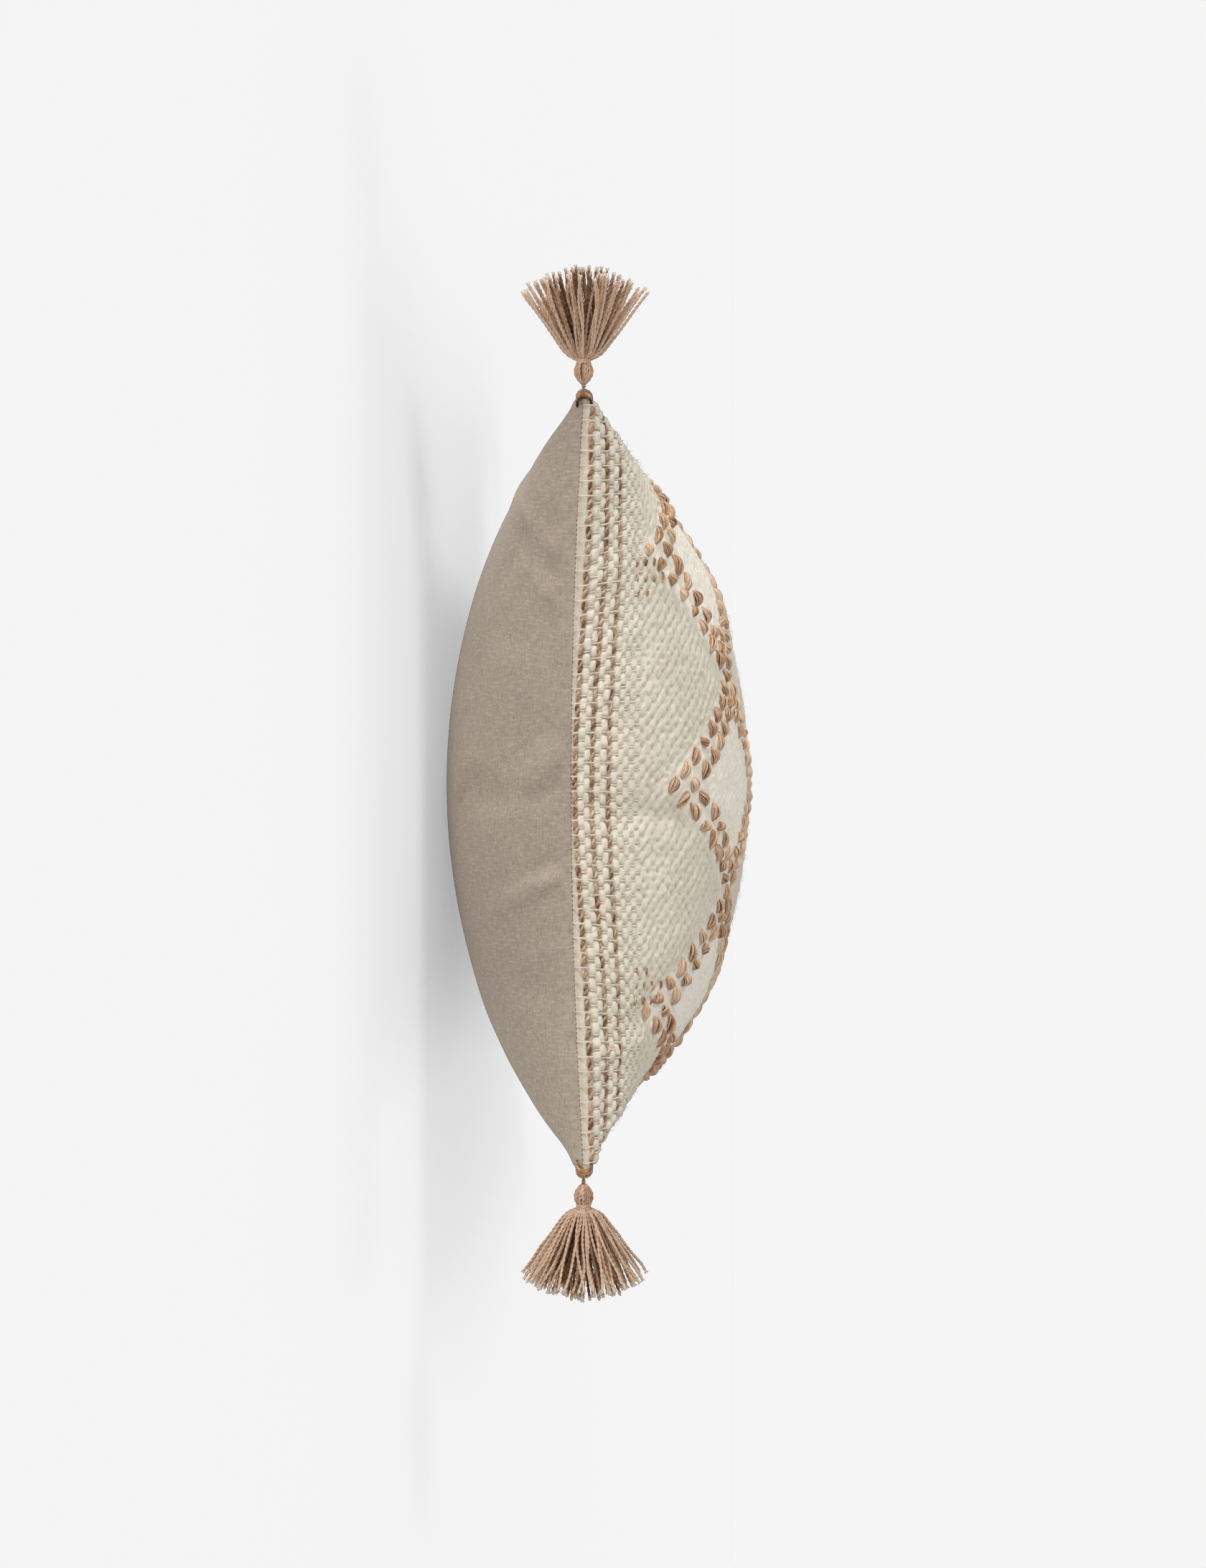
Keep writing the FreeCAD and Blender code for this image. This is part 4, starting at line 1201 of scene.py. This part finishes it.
def plain_cloth_material(name, colour, shade, pitch):
    """A fine plain cloth, such as the casing or a zip's tape."""
    s = Shader(name, 0.9, sheen=0.1)
    weave = s.add("ShaderNodeTexChecker", {"Scale": 1 / pitch, "Vector": s.places}).outputs["Fac"]
    clouds = s.noise(60, 3)
    mixed = s.mix(s.range(clouds, 0.3, 0.7), colour, shade)
    mixed = s.mix(s.math("MULTIPLY", weave, 0.25), mixed, shade)
    return s.finish(mixed, s.bump(weave, 0.1 * MM, 0.6))


def brass_material():
    """Antique brass: brown in its low places and scratched."""
    s = Shader("antique_brass", 0.38, metallic=1.0)
    stain = s.noise(260, 4)
    scratches = s.noise(500, 2, 0.5, s.stretched(0.15, 3, 3))
    colour = s.mix(s.range(stain, 0.4, 0.65), srgb(150, 122, 78), srgb(92, 70, 44))
    s.set(s.surface, {"Roughness": s.range(scratches, 0.3, 0.7, 0.28, 0.55)})
    return s.finish(colour, s.bump(scratches, 0.05 * MM, 0.5))


def nylon_material():
    """The coils' satin nylon."""
    s = Shader("nylon", 0.35)
    haze = s.noise(700, 2)
    return s.finish(s.mix(s.range(haze, 0.3, 0.7), srgb(164, 148, 130), srgb(142, 126, 108)))


# --- Stage, light and camera ---


WORLD_LIGHT = 0.4
FLOOR_GLOW = 0.35  # the floor lights the back and keeps its own shadows faint
FLOOR_REACH = 30
CENTRE = Vector((0, 0, SEAM_Z))


def floor():
    """A pale floor that shows only the pillow's soft shadow."""
    mesh = bpy.data.meshes.new("floor")
    signs = ((-1, -1), (1, -1), (1, 1), (-1, 1))
    corners = [(FLOOR_REACH * x, FLOOR_REACH * y, -0.2 * MM) for x, y in signs]
    mesh.from_pydata(corners, [], [(0, 1, 2, 3)])
    sheet = new_object("floor", mesh)
    shader = Shader("pale_floor", 0.9)
    pale = shader.mix(shader.noise(3, 2), srgb(244, 244, 244), srgb(246, 246, 246))
    shader.set(shader.surface, {"Emission Color": pale, "Emission Strength": FLOOR_GLOW})
    mesh.materials.append(shader.finish(pale))
    sheet.is_shadow_catcher = True


def surround():
    """An even pale surround that lights the pillow softly."""
    world = bpy.data.worlds.new("surround")
    world.use_nodes = True
    tree = world.node_tree
    tree.nodes.clear()
    seen = tree.nodes.new("ShaderNodeBackground")
    seen.inputs["Color"].default_value = srgb(245, 245, 245)
    light = tree.nodes.new("ShaderNodeBackground")
    light.inputs["Color"].default_value = (1.0, 0.99, 0.98, 1)
    light.inputs["Strength"].default_value = WORLD_LIGHT
    which = tree.nodes.new("ShaderNodeLightPath")
    mix = tree.nodes.new("ShaderNodeMixShader")
    out = tree.nodes.new("ShaderNodeOutputWorld")
    tree.links.new(which.outputs["Is Camera Ray"], mix.inputs[0])
    tree.links.new(light.outputs[0], mix.inputs[1])
    tree.links.new(seen.outputs[0], mix.inputs[2])
    tree.links.new(mix.outputs[0], out.inputs["Surface"])
    bpy.context.scene.world = world
    bpy.context.scene.view_settings.view_transform = "Standard"


def area_light(name, place, wide, watts):
    """A large soft light that faces the pillow."""
    data = bpy.data.lights.new(name, "AREA")
    data.shape = "DISK"
    data.size = wide
    data.energy = watts
    light = new_object(name, data)
    light.location = place
    light.rotation_euler = (CENTRE - Vector(place)).to_track_quat("-Z", "Y").to_euler()


def lights():
    """Soft lights over the front, beside the seam, low along the back and on the far side."""
    area_light("key", (-1.2, 1.3, 1.3), 0.8, 12)
    area_light("side", (-2.0, -0.3, 0.3), 1.2, 7)
    area_light("low", (-0.75, 1.5, 0.14), 0.4, 12)
    area_light("far", (1.4, -1.0, 1.6), 1.6, 12)


def camera():
    """The near seam seen edge on, a little from the front's side, with Y up in the picture."""
    away, above, aside = 1.4, math.radians(4.34), 3.6 * MM
    right = Vector((math.sin(above), 0, math.cos(above)))
    up = Vector((0, 1, 0))
    back = Vector((-math.cos(above), 0, math.sin(above)))
    data = bpy.data.cameras.new("camera")
    data.lens, data.sensor_width = 43.3, 36
    data.clip_start, data.clip_end = 0.05, 100
    view = new_object("camera", data)
    place = CENTRE + away * back + aside * right
    view.matrix_world = Matrix.Translation(place) @ Matrix((right, up, back)).transposed().to_4x4()
    bpy.context.scene.camera = view


# --- Making everything ---

camera()
lights()
floor()
surround()

wool = wool_material()
pale_thread = pale_thread_material()
brown_yarn = yarn_material(
    "brown_yarn",
    {
        0.0: srgb(104, 72, 50),
        0.3: srgb(160, 122, 94),
        0.65: srgb(190, 156, 128),
        1.0: srgb(212, 192, 170),
    },
)
jute_yarn = yarn_material(
    "jute_yarn",
    {
        0.0: srgb(92, 62, 42),
        0.3: srgb(166, 124, 92),
        0.65: srgb(200, 164, 132),
        1.0: srgb(226, 200, 172),
    },
    roughness=0.45,
    sheen=0.05,
    fibre=1700,
)
tassel_yarn = yarn_material(
    "tassel_yarn",
    {
        0.0: srgb(84, 50, 27),
        0.3: srgb(146, 110, 82),
        0.7: srgb(194, 160, 131),
        1.0: srgb(214, 184, 158),
    },
    roughness=0.8,
    tip=srgb(226, 212, 192),
)
striped_cord = yarn_material(
    "striped_cord",
    {
        0.0: srgb(34, 26, 22),
        0.3: srgb(84, 56, 40),
        0.65: srgb(170, 124, 88),
        1.0: srgb(206, 168, 128),
    },
)

wool_front(wool)
for column, thick in BROWN_COLUMNS.items():
    name = f"running_stitches_{column}"
    places = border_places(column)
    running_stitches(name, *places, thick, 0.5 * MM, brown_yarn, stands_for=["border_stitches"])
running_stitches("patch_stitches", *patch_places(), 2.0 * MM, 1.9 * MM, jute_yarn)
crossing_threads(pale_thread)
motif_tufts(jute_yarn)
wool_fuzz(pale_thread)

linen_back(linen_material())
seam_thread(plain_cloth_material("seam_thread", srgb(112, 98, 84), srgb(84, 72, 60), 0.4 * MM))
insert(
    plain_cloth_material("cotton", srgb(240, 237, 230), srgb(224, 220, 210), 0.5 * MM),
    plain_cloth_material("loose_fibre", srgb(245, 245, 243), srgb(228, 228, 226), 2.5 * MM),
)

zip_tape = plain_cloth_material("zip_tape", srgb(168, 154, 138), srgb(140, 126, 110), 0.6 * MM)
brass = brass_material()
zip_coils(nylon_material())
zip_topstitch(plain_cloth_material("top_thread", srgb(190, 178, 160), srgb(160, 148, 130), 0.4 * MM))
finish_cad_nodes(
    {
        "zipper_tape_front": (zip_tape, 0.15),
        "zipper_tape_back": (zip_tape, 0.15),
        "zipper_bottom_stop": (brass, 0.3),
        "zipper_top_stops": (brass, 0.3),
        "zipper_slider": (brass, 0.25),
        "zipper_pull": (brass, 0.3),
    }
)

for corner in CORNERS:
    tassel_skirt(corner, tassel_yarn)
    tassel_head(corner, tassel_yarn)
    tassel_wrap(corner, tassel_yarn)
    hanging_cord(corner, tassel_yarn)
    corner_loop(corner, striped_cord)
